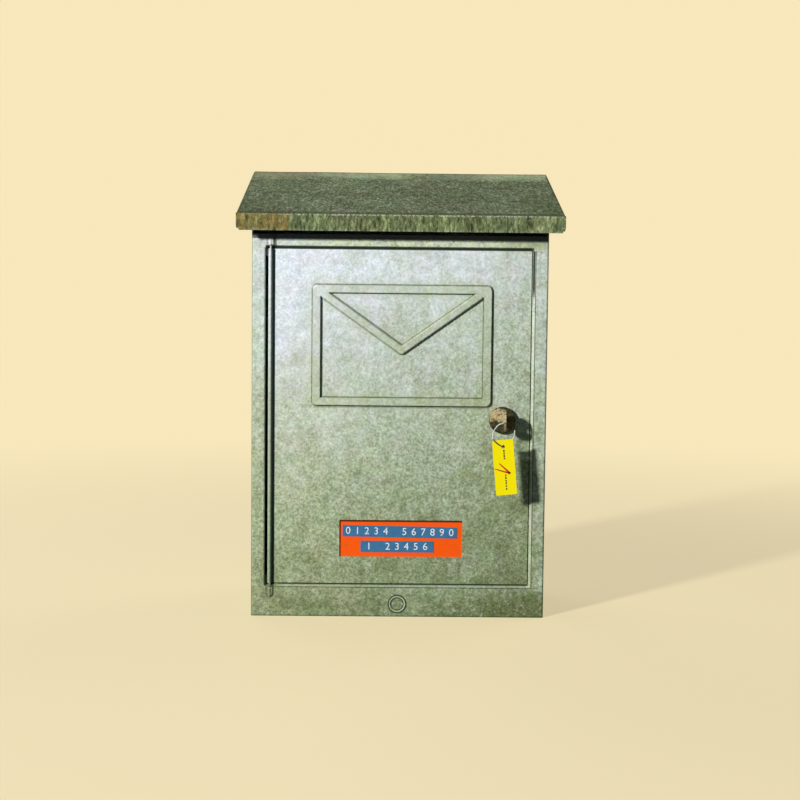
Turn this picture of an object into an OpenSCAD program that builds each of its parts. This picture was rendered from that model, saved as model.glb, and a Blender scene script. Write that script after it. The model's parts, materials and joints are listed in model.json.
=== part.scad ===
// Wall mailbox folded from galvanised sheet, with a sloping hood, a side hinged
// door, a cam lock with its key, and a yellow tag tied to the key.
// Millimetres. +Z up, the door faces -Y, and +X is on the right of someone facing it.
// The origin is the centre of the casing's underside.

/* [Casing] */
// Width of the casing
casing_w = 242; // [230:1:300]
// Depth of the casing from the front face to the wall
casing_d = 110; // [90:1:160]
// Height of the front face, up to the edge that the letters pass over
front_h = 314; // [300:1:400]
// Thickness of the folded sheet
sheet_t = 0.8; // [0.6:0.1:1.2]
// Outside radius of the two front folds
fold_r = 1.8; // [1.4:0.1:4]
// Width of the flanges turned in at the back of the sides
rear_flange_w = 14; // [12:1:20]
// Width of the flanges turned in under the hood
top_flange_w = 10; // [6:1:16]
// Depth of the fold at the top of the front
front_hem_d = 8; // [4:1:12]
// Height of the turned up edges of the bottom pan
pan_edge_h = 12; // [8:1:20]

/* [Hood] */
// How far the hood reaches past the front face
hood_front = 16; // [10:1:22]
// How far the hood reaches past each side
hood_side = 11; // [6:1:20]
// Slope of the hood, in degrees
hood_slope = 21.4; // [12:0.2:30]
// Height of the hood's lip
lip_h = 13.5; // [10:0.5:20]
// How far the lip's lower edge stays above the front's top edge
lip_clear = 1.5; // [0.5:0.5:6]
// Width of the cut at the lip's lower corners
lip_cut_w = 2.5; // [1:0.5:5]
// Height of the cut at the lip's lower corners
lip_cut_h = 4; // [2:0.5:8]

/* [Door] */
// Margin from the casing's left side to the hinge axis
hinge_margin = 15.4; // [13.9:0.5:24]
// Margin from the casing's right side to the door opening
right_margin = 12.8; // [12:0.2:20]
// Margin from the underside to the door opening
bottom_margin = 26.6; // [24:0.2:40]
// Margin from the front's top edge to the door opening
top_margin = 11.2; // [10.2:0.2:20]
// Gap round the door's edge
door_gap = 0.8; // [0.5:0.1:1.5]
// Corner radius of the door opening
opening_r = 2; // [1.6:0.2:6]
// How far the door's face lies behind the front face
door_recess = 2.5; // [2:0.1:4]
// Gap between the door and the ledge behind it
ledge_gap = 0.3; // [0.2:0.1:0.6]
// Width of the sloped step round the opening
step_w = 2; // [1.6:0.2:4]
// Width of the ledge behind the door's edge
ledge_w = 6; // [4:0.5:9]
// Depth of the flange turned in at the ledge's inner edge
ledge_flange_d = 8; // [6:0.5:12]

/* [Hinge] */
// Diameter of the hinge pin
pin_d = 2; // [2:0.2:5]
// Running clearance between the pin and the rolled edge, on the radius
pin_clear = 0.08; // [0.05:0.01:0.1]
// Seat clearance between the pin and its pockets, on the radius
pocket_clear = 0.05; // [0.02:0.01:0.1]
// Gap between the rolled edge and the side of the opening
hinge_gap = 2.4; // [0.4:0.1:3]
// Length of the lower pin pocket
low_pocket_l = 10.5; // [8:0.5:16]
// Length of the upper pin pocket
high_pocket_l = 6; // [4:0.5:6]

/* [Pressing] */
// Width of the raised envelope outline on the door
envelope_w = 140; // [110:1:160]
// Height of the raised envelope outline on the door
envelope_h = 92; // [70:1:110]
// Height of the envelope's centre above the casing's underside
envelope_z = 224; // [180:1:240]
// Width of the raised stroke
stroke_w = 7; // [5:0.5:9]
// Height of the raised stroke
stroke_h = 2.2; // [1:0.1:2.2]
// Diameter of the plain ring pressed below the door
ring_d = 14; // [10:1:16]

/* [Name window] */
// Width of the window in the door
window_w = 101.5; // [80:0.5:120]
// Height of the window in the door
window_h = 30.5; // [20:0.5:40]
// Distance of the window's centre to the right of the casing's middle
window_x = 2.5; // [-10:0.5:10]
// Height of the window's centre above the casing's underside
window_z = 64.8; // [60:0.2:90]
// Overlap of the card behind each edge of the window
card_lap = 4; // [2:0.5:6]
// Thickness of the card
card_t = 0.6; // [0.4:0.1:1]
// Height of the stuck on tapes
tape_h = 9.4; // [9:0.1:12]
// Thickness of the stuck on tapes
tape_t = 0.35; // [0.2:0.05:0.5]
// Length of the upper tape
upper_tape_l = 94.5; // [60:0.5:98]
// Length of the lower tape
lower_tape_l = 60.7; // [30:0.5:98]

/* [Lock] */
// Distance from the lock's axis to the right edge of the opening
lock_inset = 23.2; // [20:0.2:30]
// Height of the lock's axis above the casing's underside
lock_z = 163.8; // [130:0.2:200]
// Diameter of the lock's rosette
rosette_d = 22; // [20:0.5:26]
// How far the rosette stands proud of the door
rosette_t = 4; // [2.5:0.5:6]
// Diameter of the lock's barrel
barrel_d = 16; // [14:0.5:18]
// Length of the barrel behind the door's face
barrel_l = 10.2; // [9:0.2:16]
// Diameter of the turning plug
plug_d = 11; // [10:0.5:12]
// Running clearance round the plug, on the radius
plug_clear = 0.06; // [0.03:0.01:0.1]
// Clearance round the barrel in the door, on the radius
barrel_clear = 0.1; // [0.05:0.05:0.3]
// Thickness of the washer behind the door
washer_t = 1; // [0.8:0.1:1.6]
// Thickness of the nut behind the door
nut_t = 3.5; // [3:0.5:5]
// Thickness of the cam
cam_t = 1.6; // [1.2:0.1:2.5]
// Width of the cam
cam_w = 12; // [10:0.5:14]
// Length of the cam from the lock's axis
cam_l = 24; // [22:0.5:28]

/* [Key and tag] */
// Diameter of the key's bow
bow_d = 17.6; // [15:0.2:20]
// Thickness of the key's bow
bow_t = 2.2; // [1.8:0.1:2.6]
// Length of the key's neck between the lock and the bow
neck_l = 4; // [0.8:0.2:8]
// Diameter of the hole in the key's bow
bow_hole_d = 4.2; // [4:0.1:4.6]
// Distance from the bow's front edge to the middle of its hole
bow_hole_in = 4; // [3.6:0.1:4.4]
// Thickness of the key's blade
blade_t = 1.6; // [1.2:0.1:2]
// Width of the key's blade
blade_w = 6; // [5:0.2:7]
// Diameter of the string
string_d = 1; // [0.8:0.1:1.2]
// Width of the tag
tag_w = 17; // [14:0.5:22]
// Length of the tag
tag_l = 44.6; // [36:0.2:60]
// Thickness of the tag
tag_t = 0.4; // [0.3:0.1:0.8]

/* [Fixing] */
// Diameter of the four wall screw holes
screw_hole_d = 6; // [4:0.5:8]
// Distance between the screw holes across the back
screw_pitch_x = 180; // [140:5:200]
// Distance between the screw holes up the back
screw_pitch_z = 220; // [160:5:260]
// Height of the lower screw holes
screw_low_z = 70; // [50:5:100]
// Diameter of the rivets that hold the back
rivet_d = 3.2; // [3:0.2:4]

/* [Hidden] */
$fn = 48;
// Clearance between sheets that are laid in each other
lay_gap = 0.1;
// Faces of the casing
front_y = -casing_d / 2;
wall_y = casing_d / 2;
back_in_y = wall_y - sheet_t;
// Depth of the edge turned forward at the top of the back
back_edge_d = 14;
side_in_x = casing_w / 2 - sheet_t;

// Hood: the top surface passes through the lip's upper front edge
lip_y = front_y - hood_front;
lip_low_z = front_h + lip_clear;
lip_top_z = lip_low_z + lip_h;
hood_half_w = casing_w / 2 + hood_side;
// Vertical thickness of the sloping sheet
hood_t_z = sheet_t / cos(hood_slope);
function hood_top(y) = lip_top_z + (y - lip_y) * tan(hood_slope);
function hood_under(y) = hood_top(y) - hood_t_z;

// Door opening, measured at the foot of its sloped step
hinge_x = -casing_w / 2 + hinge_margin;
roll_in_r = pin_d / 2 + pin_clear;
roll_out_r = roll_in_r + sheet_t;
open_left = hinge_x - roll_out_r - hinge_gap;
open_right = casing_w / 2 - right_margin;
open_low = bottom_margin;
open_high = front_h - top_margin;
// Depths behind the front face
door_back = door_recess + sheet_t;
step_d = door_back + ledge_gap;
ledge_back = step_d + sheet_t;
ledge_flange_back = ledge_back + ledge_flange_d;
// How far a fold of the step moves its inside corner
step_turn = sheet_t * tan(atan2(step_d, step_w) / 2);
hinge_flange_lap = 2.2;
hinge_flange_d = ledge_back + hinge_flange_lap;
hinge_y = front_y + door_back - roll_out_r;
pocket_r = pin_d / 2 + pocket_clear;
low_pocket_top = open_low - step_w;
high_pocket_low = open_high + step_w;

// Plain ring below the door: its bead, and its height above the underside
ring_bead_r = 0.7;
ring_rise = 3.6;

// Door
door_right = open_right - door_gap;
door_low = open_low + door_gap;
door_high = open_high - door_gap;
envelope_x = (hinge_x + door_right) / 2 + 1;
// How far the flap's tip hangs below the envelope's middle, as a part of half its height
flap_drop = 0.08;

// Name window: the card lies just clear of the door's back
card_off = 0.05;
card_w = window_w + 2 * card_lap;
card_h = window_h + 2 * card_lap;
card_y = front_y + door_back + card_off;
holder_t = 0.6;
holder_in_y = card_y + card_t + lay_gap;
tape_space = 0.6;
// How far each tape was stuck on off its place, along X and Z, and its tilt
upper_tape_off = [-0.9, 0.5];
lower_tape_off = [-3, -1.9];
upper_tape_tilt = 0.8;

// Lock, measured along Y from the door's face
lock_x = open_right - lock_inset;
door_face_y = front_y + door_recess;
rosette_y = door_face_y - rosette_t;
door_back_y = front_y + door_back;
barrel_end_y = door_face_y + barrel_l;
cam_clear = 0.4;
cam_y = max(barrel_end_y + 0.1, front_y + ledge_flange_back + cam_clear);
plug_r = plug_d / 2;
plug_sunk = 0.4;
cam_square = 5;
square_end_y = cam_y + cam_t;
keyway_t = blade_t + 0.3;
keyway_w = blade_w + 0.3;
screw_l = 3;
screw_r = 1.2;
screw_head_r = 4.2;
screw_head_t = 2;
blade_stop = 1.2;
blade_end_y = square_end_y - screw_l - blade_stop;
wafer_t = 1;
wafer_pitch = 2.4;
wafer_count = 4;
wafer_w = 7.4;
wafer_fit = 0.1;
wafer_lead = 2.2;
first_wafer_y = rosette_y + wafer_lead;

// Key
neck_half_h = 4.4;
bow_y = rosette_y - neck_l - bow_d / 2;
bow_hole_y = bow_y - bow_d / 2 + bow_hole_in;

// Tag, hung from the bow's hole and turned a little by its string
tag_tilt = 5.2;
tag_hole_d = 3;
tag_hole_in = 5.5;
tag_drop = 19.8;
tag_shift = -1.2;
tag_y = bow_hole_y - 1.4;
string_sides = 8;
// The string's route from its knot behind the tag, up through the bow's hole, down
// in front of the tag and back through the tag's hole: X, Y, Z from the bow's hole
string_route = [
    [0.9, -0.1, -18.9], [2.6, 0.2, -17.4], [5.2, 1.0, -15.4], [7.4, 2.2, -13.2],
    [8.5, 3.3, -10.4], [8.5, 4.0, -7.4], [7.2, 3.7, -4.4], [4.6, 2.0, -2.1],
    [1.6, 0.3, -1.2], [-1.6, -0.1, -1.2], [-4.8, 0, -2.4], [-7.2, -0.1, -5.0],
    [-8.9, -0.4, -8.2], [-9.5, -1.0, -11.4], [-9.0, -1.9, -14.2], [-7.2, -2.3, -16.4],
    [-4.8, -2.4, -18.2], [-2.6, -2.2, -19.4], [-1.2, -1.4, -19.8], [-0.4, -0.5, -20.2]
];

// Where the rivets stand up the back
rivet_zs = [40, 180, 320];
rivet_head_r = 3.2;
rivet_head_t = 1.4;
rivet_x = side_in_x - rear_flange_w / 2;

// ---------- helpers ----------

// A plate cut from an XZ outline, from y to y + t
module plate(y, t) {
    translate([0, y + t, 0])
        rotate([90, 0, 0])
            linear_extrude(t)
                children();
}

// A bar of a YZ section, from x to x + l
module bar_x(x, l) {
    translate([x, 0, 0])
        rotate([90, 0, 90])
            linear_extrude(l)
                children();
}

// A round bar along Y, from y to y + l
module rod_y(x, z, y, l, r) {
    translate([x, y, z])
        rotate([-90, 0, 0])
            cylinder(h = l, r = r);
}

// A box given by its low and high corners
module span(a, b) {
    translate(a)
        cube(b - a);
}

// The opening's outline, grown outwards by g, with round right corners
module opening_outline(left, g) {
    r = opening_r + g;
    right = open_right + g;
    low = open_low - g;
    high = open_high + g;
    translate([left, low])
        square([right - r - left, high - low]);
    translate([left, low + r])
        square([right - left, high - low - 2 * r]);
    for (z = [low + r, high - r])
        translate([right - r, z])
            circle(r);
}

// Section of the pressed step: u outwards from its foot, v back from the front face
module step_section(lead) {
    polygon([
        [-lead, step_d], [0, step_d], [step_w, 0], [step_w + step_turn + lead, 0],
        [step_w + step_turn + lead, sheet_t], [step_w + step_turn, sheet_t],
        [step_turn, ledge_back], [-lead, ledge_back]
    ]);
}

// ---------- casing ----------

// Plan of the front and sides, folded from one sheet
module casing_plan() {
    in_r = fold_r - sheet_t;
    difference() {
        union() {
            translate([-casing_w / 2, front_y + fold_r])
                square([casing_w, casing_d - fold_r - sheet_t]);
            translate([-casing_w / 2 + fold_r, front_y])
                square([casing_w - 2 * fold_r, fold_r + 1]);
            for (s = [-1, 1])
                translate([s * (casing_w / 2 - fold_r), front_y + fold_r])
                    circle(fold_r);
        }
        translate([-side_in_x, front_y + fold_r])
            square([2 * side_in_x, casing_d]);
        translate([-side_in_x + in_r, front_y + sheet_t])
            square([2 * (side_in_x - in_r), fold_r]);
        for (s = [-1, 1])
            translate([s * (side_in_x - in_r), front_y + fold_r])
                circle(in_r);
    }
}

// The pressed step along the right side, the top and the bottom, with its corners
module opening_step() {
    lead = 0.5;
    straight_h = open_high - open_low - 2 * opening_r;
    left = open_left - sheet_t;
    translate([open_right, front_y, open_low + opening_r])
        linear_extrude(straight_h)
            step_section(lead);
    for (side = [0, 1])
        translate([0, 0, side * (open_high + open_low)])
            mirror([0, 0, side]) {
                translate([left, front_y, open_low])
                    rotate([90, 0, 90])
                        linear_extrude(open_right - opening_r - left)
                            mirror([0, 1])
                                rotate(90)
                                    mirror([0, 1])
                                        step_section(lead);
                translate([open_right - opening_r, front_y, open_low + opening_r])
                    rotate([-90, 0, 0])
                        rotate_extrude(angle = 90)
                            translate([opening_r, 0])
                                step_section(lead);
            }
}

// The ledge behind the door's edge, and the flange turned in from it
module opening_ledge() {
    in_right = open_right - ledge_w;
    in_low = open_low + ledge_w;
    in_high = open_high - ledge_w;
    plate(front_y + step_d, sheet_t)
        difference() {
            opening_outline(open_left - sheet_t, step_turn / 2);
            translate([open_left - 2 * sheet_t, in_low])
                square([in_right - open_left + 2 * sheet_t, in_high - in_low]);
        }
    y0 = front_y + step_d;
    y1 = front_y + ledge_flange_back;
    span([in_right, y0, in_low - sheet_t], [in_right + sheet_t, y1, in_high + sheet_t]);
    span([open_left, y0, in_low - sheet_t], [in_right + sheet_t, y1, in_low]);
    span([open_left, y0, in_high], [in_right + sheet_t, y1, in_high + sheet_t]);
}

// A blind round-ended bar along the hinge axis, from the opening outwards
module pocket_bar(r, l, past) {
    rotate_extrude()
        intersection() {
            union() {
                translate([0, -l + r])
                    circle(r);
                translate([0, -l + r])
                    square([r, l - r + past]);
            }
            translate([0, -l])
                square([r, l + past]);
        }
}

// The two raised pockets that hold the pin's ends: their outside or their bore
module pin_pockets(r, grow, past) {
    translate([hinge_x, hinge_y, low_pocket_top])
        pocket_bar(r, low_pocket_l + grow, past);
    translate([hinge_x, hinge_y, high_pocket_low])
        mirror([0, 0, 1])
            pocket_bar(r, high_pocket_l + grow, past);
}

module casing_shell() {
    hood_line = [
        [lip_y, hood_under(lip_y)], [wall_y + 10, hood_under(wall_y + 10)],
        [wall_y + 10, 900], [lip_y, 900]
    ];
    color("#a9ad9c")
        difference() {
            union() {
                difference() {
                    linear_extrude(hood_top(wall_y))
                        casing_plan();
                    // The front stops at the edge that the letters pass over
                    span([-casing_w / 2 + fold_r, front_y - 1, front_h],
                        [casing_w / 2 - fold_r, front_y + fold_r, 900]);
                    // The sides follow the hood
                    bar_x(-casing_w, 2 * casing_w)
                        polygon(hood_line);
                    // The hole that the step lines
                    plate(front_y - 1, sheet_t + 2)
                        opening_outline(open_left - sheet_t / 2, step_w + step_turn);
                }
                opening_step();
                opening_ledge();
                // The edge turned in beside the hinge
                span([open_left - sheet_t, front_y, open_low - step_w - step_turn],
                    [open_left, front_y + hinge_flange_d, open_high + step_w + step_turn]);
                // The fold at the top of the front
                span([-casing_w / 2 + fold_r, front_y, front_h - sheet_t],
                    [casing_w / 2 - fold_r, front_y + front_hem_d, front_h]);
                for (s = [-1, 1]) {
                    // The flanges turned in at the back
                    mirror([s > 0 ? 0 : 1, 0, 0])
                        span([side_in_x - rear_flange_w, back_in_y - sheet_t, pan_edge_h + 2],
                            [side_in_x + sheet_t / 2, back_in_y, hood_under(front_y)]);
                    // The flanges turned in under the hood
                    mirror([s > 0 ? 0 : 1, 0, 0])
                        bar_x(side_in_x - top_flange_w, top_flange_w + sheet_t / 2)
                            polygon([
                                [front_y + fold_r, hood_under(front_y + fold_r) - hood_t_z],
                                [back_in_y - 2, hood_under(back_in_y - 2) - hood_t_z],
                                [back_in_y - 2, hood_under(back_in_y - 2)],
                                [front_y + fold_r, hood_under(front_y + fold_r)]
                            ]);
                }
                // The outsides of the pin pockets
                intersection() {
                    pin_pockets(pocket_r + sheet_t, sheet_t, 0);
                    span([hinge_x - 10, front_y - 10, 0],
                        [hinge_x + 10, front_y + sheet_t / 2, 900]);
                }
                // The plain pressed ring
                translate([0, front_y + 0.1, ring_d / 2 + ring_rise])
                    rotate([90, 0, 0])
                        rotate_extrude()
                            translate([ring_d / 2 - ring_bead_r, 0])
                                circle(ring_bead_r);
            }
            pin_pockets(pocket_r, 0, step_w + 3);
            for (s = [-1, 1], z = rivet_zs)
                rod_y(s * rivet_x, z, back_in_y - 2, 4, rivet_d / 2);
        }
}

// Plan of the pan, drawn in by d all round, with its front corners rounded
module pan_plan(d) {
    r = fold_r - d;
    x = side_in_x - lay_gap - d;
    y0 = front_y + sheet_t + lay_gap + d;
    y1 = back_in_y - sheet_t - lay_gap - d;
    translate([-x, y0 + r])
        square([2 * x, y1 - y0 - r]);
    translate([-x + r, y0])
        square([2 * (x - r), r + 1]);
    for (s = [-1, 1])
        translate([s * (x - r), y0 + r])
            circle(r);
}

module bottom_pan() {
    color("#8f9384")
        difference() {
            linear_extrude(pan_edge_h)
                pan_plan(0);
            translate([0, 0, sheet_t])
                linear_extrude(pan_edge_h)
                    pan_plan(sheet_t);
        }
}

module back_panel() {
    flange_x = side_in_x - top_flange_w - 1;
    y0 = back_in_y - back_edge_d;
    color("#8f9384")
        difference() {
            union() {
                // Its top edge is cut to the hood's slope
                bar_x(-casing_w / 2, casing_w)
                    polygon([
                        [back_in_y, 0], [wall_y, 0],
                        [wall_y, hood_under(wall_y)], [back_in_y, hood_under(back_in_y)]
                    ]);
                // The edge turned forward under the hood
                bar_x(-flange_x, 2 * flange_x)
                    polygon([
                        [y0, hood_under(y0) - hood_t_z],
                        [wall_y - sheet_t / 2, hood_under(wall_y - sheet_t / 2) - hood_t_z],
                        [wall_y - sheet_t / 2, hood_under(wall_y - sheet_t / 2)],
                        [y0, hood_under(y0)]
                    ]);
            }
            for (x = [-screw_pitch_x / 2, screw_pitch_x / 2])
                for (z = [screw_low_z, screw_low_z + screw_pitch_z])
                    rod_y(x, z, back_in_y - 1, sheet_t + 2, screw_hole_d / 2);
            for (s = [-1, 1], z = rivet_zs)
                rod_y(s * rivet_x, z, back_in_y - 2, 4, rivet_d / 2);
        }
}

// Blind rivets: domed heads inside, flush tails against the wall
module back_rivets() {
    head_y = back_in_y - sheet_t;
    color("#9c9f98")
        for (s = [-1, 1], z = rivet_zs) {
            translate([s * rivet_x, 0, z])
                rotate([-90, 0, 0])
                    rotate_extrude()
                        polygon([
                            [0, head_y - rivet_head_t], [rivet_head_r * 0.6, head_y - rivet_head_t],
                            [rivet_head_r, head_y - 0.4], [rivet_head_r, head_y],
                            [rivet_d / 2, head_y], [rivet_d / 2, wall_y], [0, wall_y]
                        ]);
        }
}

module roof_hood() {
    w = hood_half_w;
    lip_line = [
        [-w, lip_top_z], [w, lip_top_z], [w, lip_low_z + lip_cut_h],
        [w - lip_cut_w, lip_low_z], [-w + lip_cut_w, lip_low_z], [-w, lip_low_z + lip_cut_h]
    ];
    color("#5f6347") {
        union() {
            bar_x(-w, 2 * w)
                polygon([
                    [lip_y, hood_under(lip_y)], [wall_y, hood_under(wall_y)],
                    [wall_y, hood_top(wall_y)], [lip_y, hood_top(lip_y)]
                ]);
            plate(lip_y, sheet_t)
                polygon(lip_line);
            for (s = [-1, 1])
                bar_x(s > 0 ? w - sheet_t : -w, sheet_t)
                    polygon([
                        [lip_y, lip_low_z + lip_cut_h],
                        [lip_y + lip_cut_h, hood_top(lip_y + lip_cut_h) - lip_h],
                        [wall_y, hood_top(wall_y) - lip_h],
                        [wall_y, hood_top(wall_y)], [lip_y, lip_top_z]
                    ]);
        }
    }
}

module hinge_pin() {
    // Its square ends stop where the pockets start to round off
    z0 = low_pocket_top - low_pocket_l + pocket_r;
    z1 = high_pocket_low + high_pocket_l - pocket_r;
    color("#7d7f78")
        translate([hinge_x, hinge_y, z0])
            cylinder(h = z1 - z0, r = pin_d / 2);
}

// ---------- door ----------

module stroke(a, b, w) {
    d = b - a;
    translate(a)
        rotate(atan2(d.y, d.x))
            translate([0, -w / 2])
                square([norm(d), w]);
    for (p = [a, b])
        translate(p)
            circle(w / 2);
}

// A plain envelope: its outline and the two edges of its flap
module envelope_strokes(w) {
    x = envelope_w / 2;
    z = envelope_h / 2;
    translate([envelope_x, envelope_z]) {
        for (s = [-1, 1]) {
            stroke([-x, s * z], [x, s * z], w);
            stroke([s * x, -z], [s * x, z], w);
            stroke([s * x, z], [0, -z * flap_drop], w);
        }
    }
}

// The sheet rolled round the pin, open where its end meets the door's face
module rolled_edge() {
    slit = [8, 44];
    far = 2 * roll_out_r;
    translate([hinge_x, hinge_y, door_low])
        linear_extrude(door_high - door_low)
            difference() {
                circle(roll_out_r);
                circle(roll_in_r);
                polygon([
                    [0, 0], far * [cos(slit[0]), sin(slit[0])],
                    far * [cos(slit[1]), sin(slit[1])]
                ]);
            }
}

module door_panel() {
    r = opening_r - door_gap;
    h = door_high - door_low;
    color("#b3b8a8")
        difference() {
            union() {
                rolled_edge();
                plate(door_face_y, sheet_t) {
                    translate([hinge_x, door_low])
                        square([door_right - r - hinge_x, h]);
                    translate([hinge_x, door_low + r])
                        square([door_right - hinge_x, h - 2 * r]);
                    for (z = [door_low + r, door_high - r])
                        translate([door_right - r, z])
                            circle(r);
                }
                plate(door_face_y - stroke_h, stroke_h + sheet_t / 2)
                    envelope_strokes(stroke_w);
            }
            // The strokes are hollow behind
            plate(door_face_y - stroke_h + sheet_t, stroke_h + 1)
                envelope_strokes(stroke_w - 2 * sheet_t);
            plate(door_face_y - 1, sheet_t + 2)
                translate([window_x - window_w / 2, window_z - window_h / 2])
                    square([window_w, window_h]);
            rod_y(lock_x, lock_z, door_face_y - 1, sheet_t + 2, barrel_d / 2 + barrel_clear);
        }
}

// A flat sheet pocket behind the window, open at its right end
module label_holder() {
    lap = holder_t + lay_gap;
    x0 = window_x - card_w / 2 - lap;
    x1 = window_x + card_w / 2;
    z0 = window_z - card_h / 2 - lap;
    z1 = window_z + card_h / 2 + lap;
    color("#9a9d92")
        difference() {
            span([x0, door_back_y, z0], [x1, holder_in_y + holder_t, z1]);
            span([x0 + holder_t, door_back_y - 1, z0 + holder_t],
                [x1 + 1, holder_in_y, z1 - holder_t]);
        }
}

module label_card() {
    color("#f26a1b")
        span([window_x - card_w / 2, card_y, window_z - card_h / 2],
            [window_x + card_w / 2, card_y + card_t, window_z + card_h / 2]);
}

module tape(x, z, l, tilt) {
    color("#2f6f93")
        translate([x, card_y - tape_t / 2, z])
            rotate([0, tilt, 0])
                cube([l, tape_t, tape_h], center = true);
}

module label_tape_upper() {
    z = window_z + (tape_h + tape_space) / 2;
    tape(window_x + upper_tape_off.x, z + upper_tape_off.y, upper_tape_l, upper_tape_tilt);
}

module label_tape_lower() {
    z = window_z - (tape_h + tape_space) / 2;
    tape(window_x + lower_tape_off.x, z + lower_tape_off.y, lower_tape_l, 0);
}

// ---------- lock ----------

// Rosette with a rounded rim, barrel and the bore that the plug turns in
module lock_housing() {
    bore_r = plug_r + plug_clear;
    rim = 1.6;
    color("#6b5a2c")
        translate([lock_x, 0, lock_z])
            rotate([-90, 0, 0])
                rotate_extrude() {
                    translate([bore_r, rosette_y])
                        square([rosette_d / 2 - rim - bore_r, rosette_t]);
                    translate([bore_r, rosette_y + rim])
                        square([rosette_d / 2 - bore_r, rosette_t - rim]);
                    translate([rosette_d / 2 - rim, rosette_y + rim])
                        circle(rim);
                    translate([bore_r, door_face_y - 0.1])
                        square([barrel_d / 2 - bore_r, barrel_l + 0.1]);
                }
}

module lock_washer() {
    color("#8d8f88")
        difference() {
            rod_y(lock_x, lock_z, door_back_y, washer_t, rosette_d / 2);
            rod_y(lock_x, lock_z, door_back_y - 1, washer_t + 2, barrel_d / 2 + barrel_clear);
        }
}

module lock_nut() {
    y = door_back_y + washer_t;
    nut_wall = 3;
    across = barrel_d + 2 * nut_wall;
    color("#b8a878")
        difference() {
            translate([lock_x, y, lock_z])
                rotate([-90, 0, 0])
                    cylinder(h = nut_t, r = across / 2 / cos(30), $fn = 6);
            rod_y(lock_x, lock_z, y - 1, nut_t + 2, barrel_d / 2 + 0.02);
        }
}

// The plug: a round bar with its keyway, wafer slots and a square end for the cam
module lock_plug() {
    y0 = rosette_y + plug_sunk;
    color("#c9a85a")
        difference() {
            union() {
                rod_y(lock_x, lock_z, y0, cam_y - y0 - 0.05, plug_r);
                span([lock_x - cam_square / 2, cam_y - 0.1, lock_z - cam_square / 2],
                    [lock_x + cam_square / 2, square_end_y, lock_z + cam_square / 2]);
            }
            span([lock_x - keyway_t / 2, y0 - 1, lock_z - keyway_w / 2],
                [lock_x + keyway_t / 2, blade_end_y + 0.4, lock_z + keyway_w / 2]);
            for (i = [0 : wafer_count - 1])
                wafer_space(i, wafer_fit, wafer_fit, plug_d);
            rod_y(lock_x, lock_z, square_end_y - screw_l - 0.2, screw_l + 1, screw_r + 0.05);
        }
}

function wafer_at(i) = first_wafer_y + i * wafer_pitch;

// A slot across the plug, or the wafer that lies in it
module wafer_space(i, fit, y_fit, h) {
    span([lock_x - wafer_w / 2 - fit, wafer_at(i) - y_fit, lock_z - h / 2],
        [lock_x + wafer_w / 2 + fit, wafer_at(i) + wafer_t + y_fit, lock_z + h / 2]);
}

module lock_wafers() {
    color("#d9c27a")
        for (i = [0 : wafer_count - 1])
            difference() {
                intersection() {
                    wafer_space(i, 0, 0, plug_d - 0.4);
                    rod_y(lock_x, lock_z, wafer_at(i) - 1, wafer_t + 2, plug_r - 0.1);
                }
                span([lock_x - keyway_t / 2, wafer_at(i) - 1, lock_z - keyway_w / 2],
                    [lock_x + keyway_t / 2, wafer_at(i) + wafer_t + 1, lock_z + keyway_w / 2]);
            }
}

// The cam hangs down while the lock is open, and turns to the right behind the ledge
module lock_cam() {
    color("#8c8e86")
        difference() {
            plate(cam_y, cam_t)
                translate([lock_x, lock_z]) {
                    circle(cam_w / 2);
                    translate([-cam_w / 2, -cam_l + cam_w / 2])
                        square([cam_w, cam_l - cam_w / 2]);
                    translate([0, -cam_l + cam_w / 2])
                        circle(cam_w / 2);
                }
            hole = cam_square + 0.1;
            translate([lock_x, cam_y + cam_t / 2, lock_z])
                cube([hole, cam_t + 1, hole], center = true);
        }
}

module cam_screw() {
    y = square_end_y + 0.05;
    slot_w = 1;
    color("#9ea09a")
        difference() {
            union() {
                rod_y(lock_x, lock_z, y, screw_head_t, screw_head_r);
                rod_y(lock_x, lock_z, y - screw_l, screw_l + 0.1, screw_r);
            }
            span([lock_x - slot_w / 2, y + screw_head_t * 0.6, lock_z - screw_head_r - 1],
                [lock_x + slot_w / 2, y + screw_head_t + 1, lock_z + screw_head_r + 1]);
        }
}

// ---------- key, string and tag ----------

module key() {
    // The neck stops inside the plug's sunk face
    neck_y = rosette_y + plug_sunk - 0.1;
    color("#a08a52")
        difference() {
            union() {
                translate([lock_x - bow_t / 2, bow_y, lock_z])
                    rotate([0, 90, 0])
                        cylinder(h = bow_t, r = bow_d / 2);
                span([lock_x - bow_t / 2, bow_y, lock_z - neck_half_h],
                    [lock_x + bow_t / 2, neck_y, lock_z + neck_half_h]);
                span([lock_x - blade_t / 2, neck_y - 1, lock_z - blade_w / 2],
                    [lock_x + blade_t / 2, blade_end_y, lock_z + blade_w / 2]);
            }
            translate([lock_x - bow_t, bow_hole_y, lock_z])
                rotate([0, 90, 0])
                    cylinder(h = 2 * bow_t, r = bow_hole_d / 2);
        }
}

function unit(v) = v / norm(v);

// The direction of a route at one of its points
function heading(p, i) =
    let (a = max(i - 1, 0), b = min(i + 1, len(p) - 1)) unit(p[b] - p[a]);

// A ring of points round a route's point, with one side always kept off the Y axis
function ring(p, i, r, n) =
    let (
        t = heading(p, i),
        side = unit(cross(t, [0, 1, 0])),
        up = cross(side, t)
    )
    [for (k = [0 : n - 1])
        p[i] + r * (cos(360 * k / n) * side + sin(360 * k / n) * up)];

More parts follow.
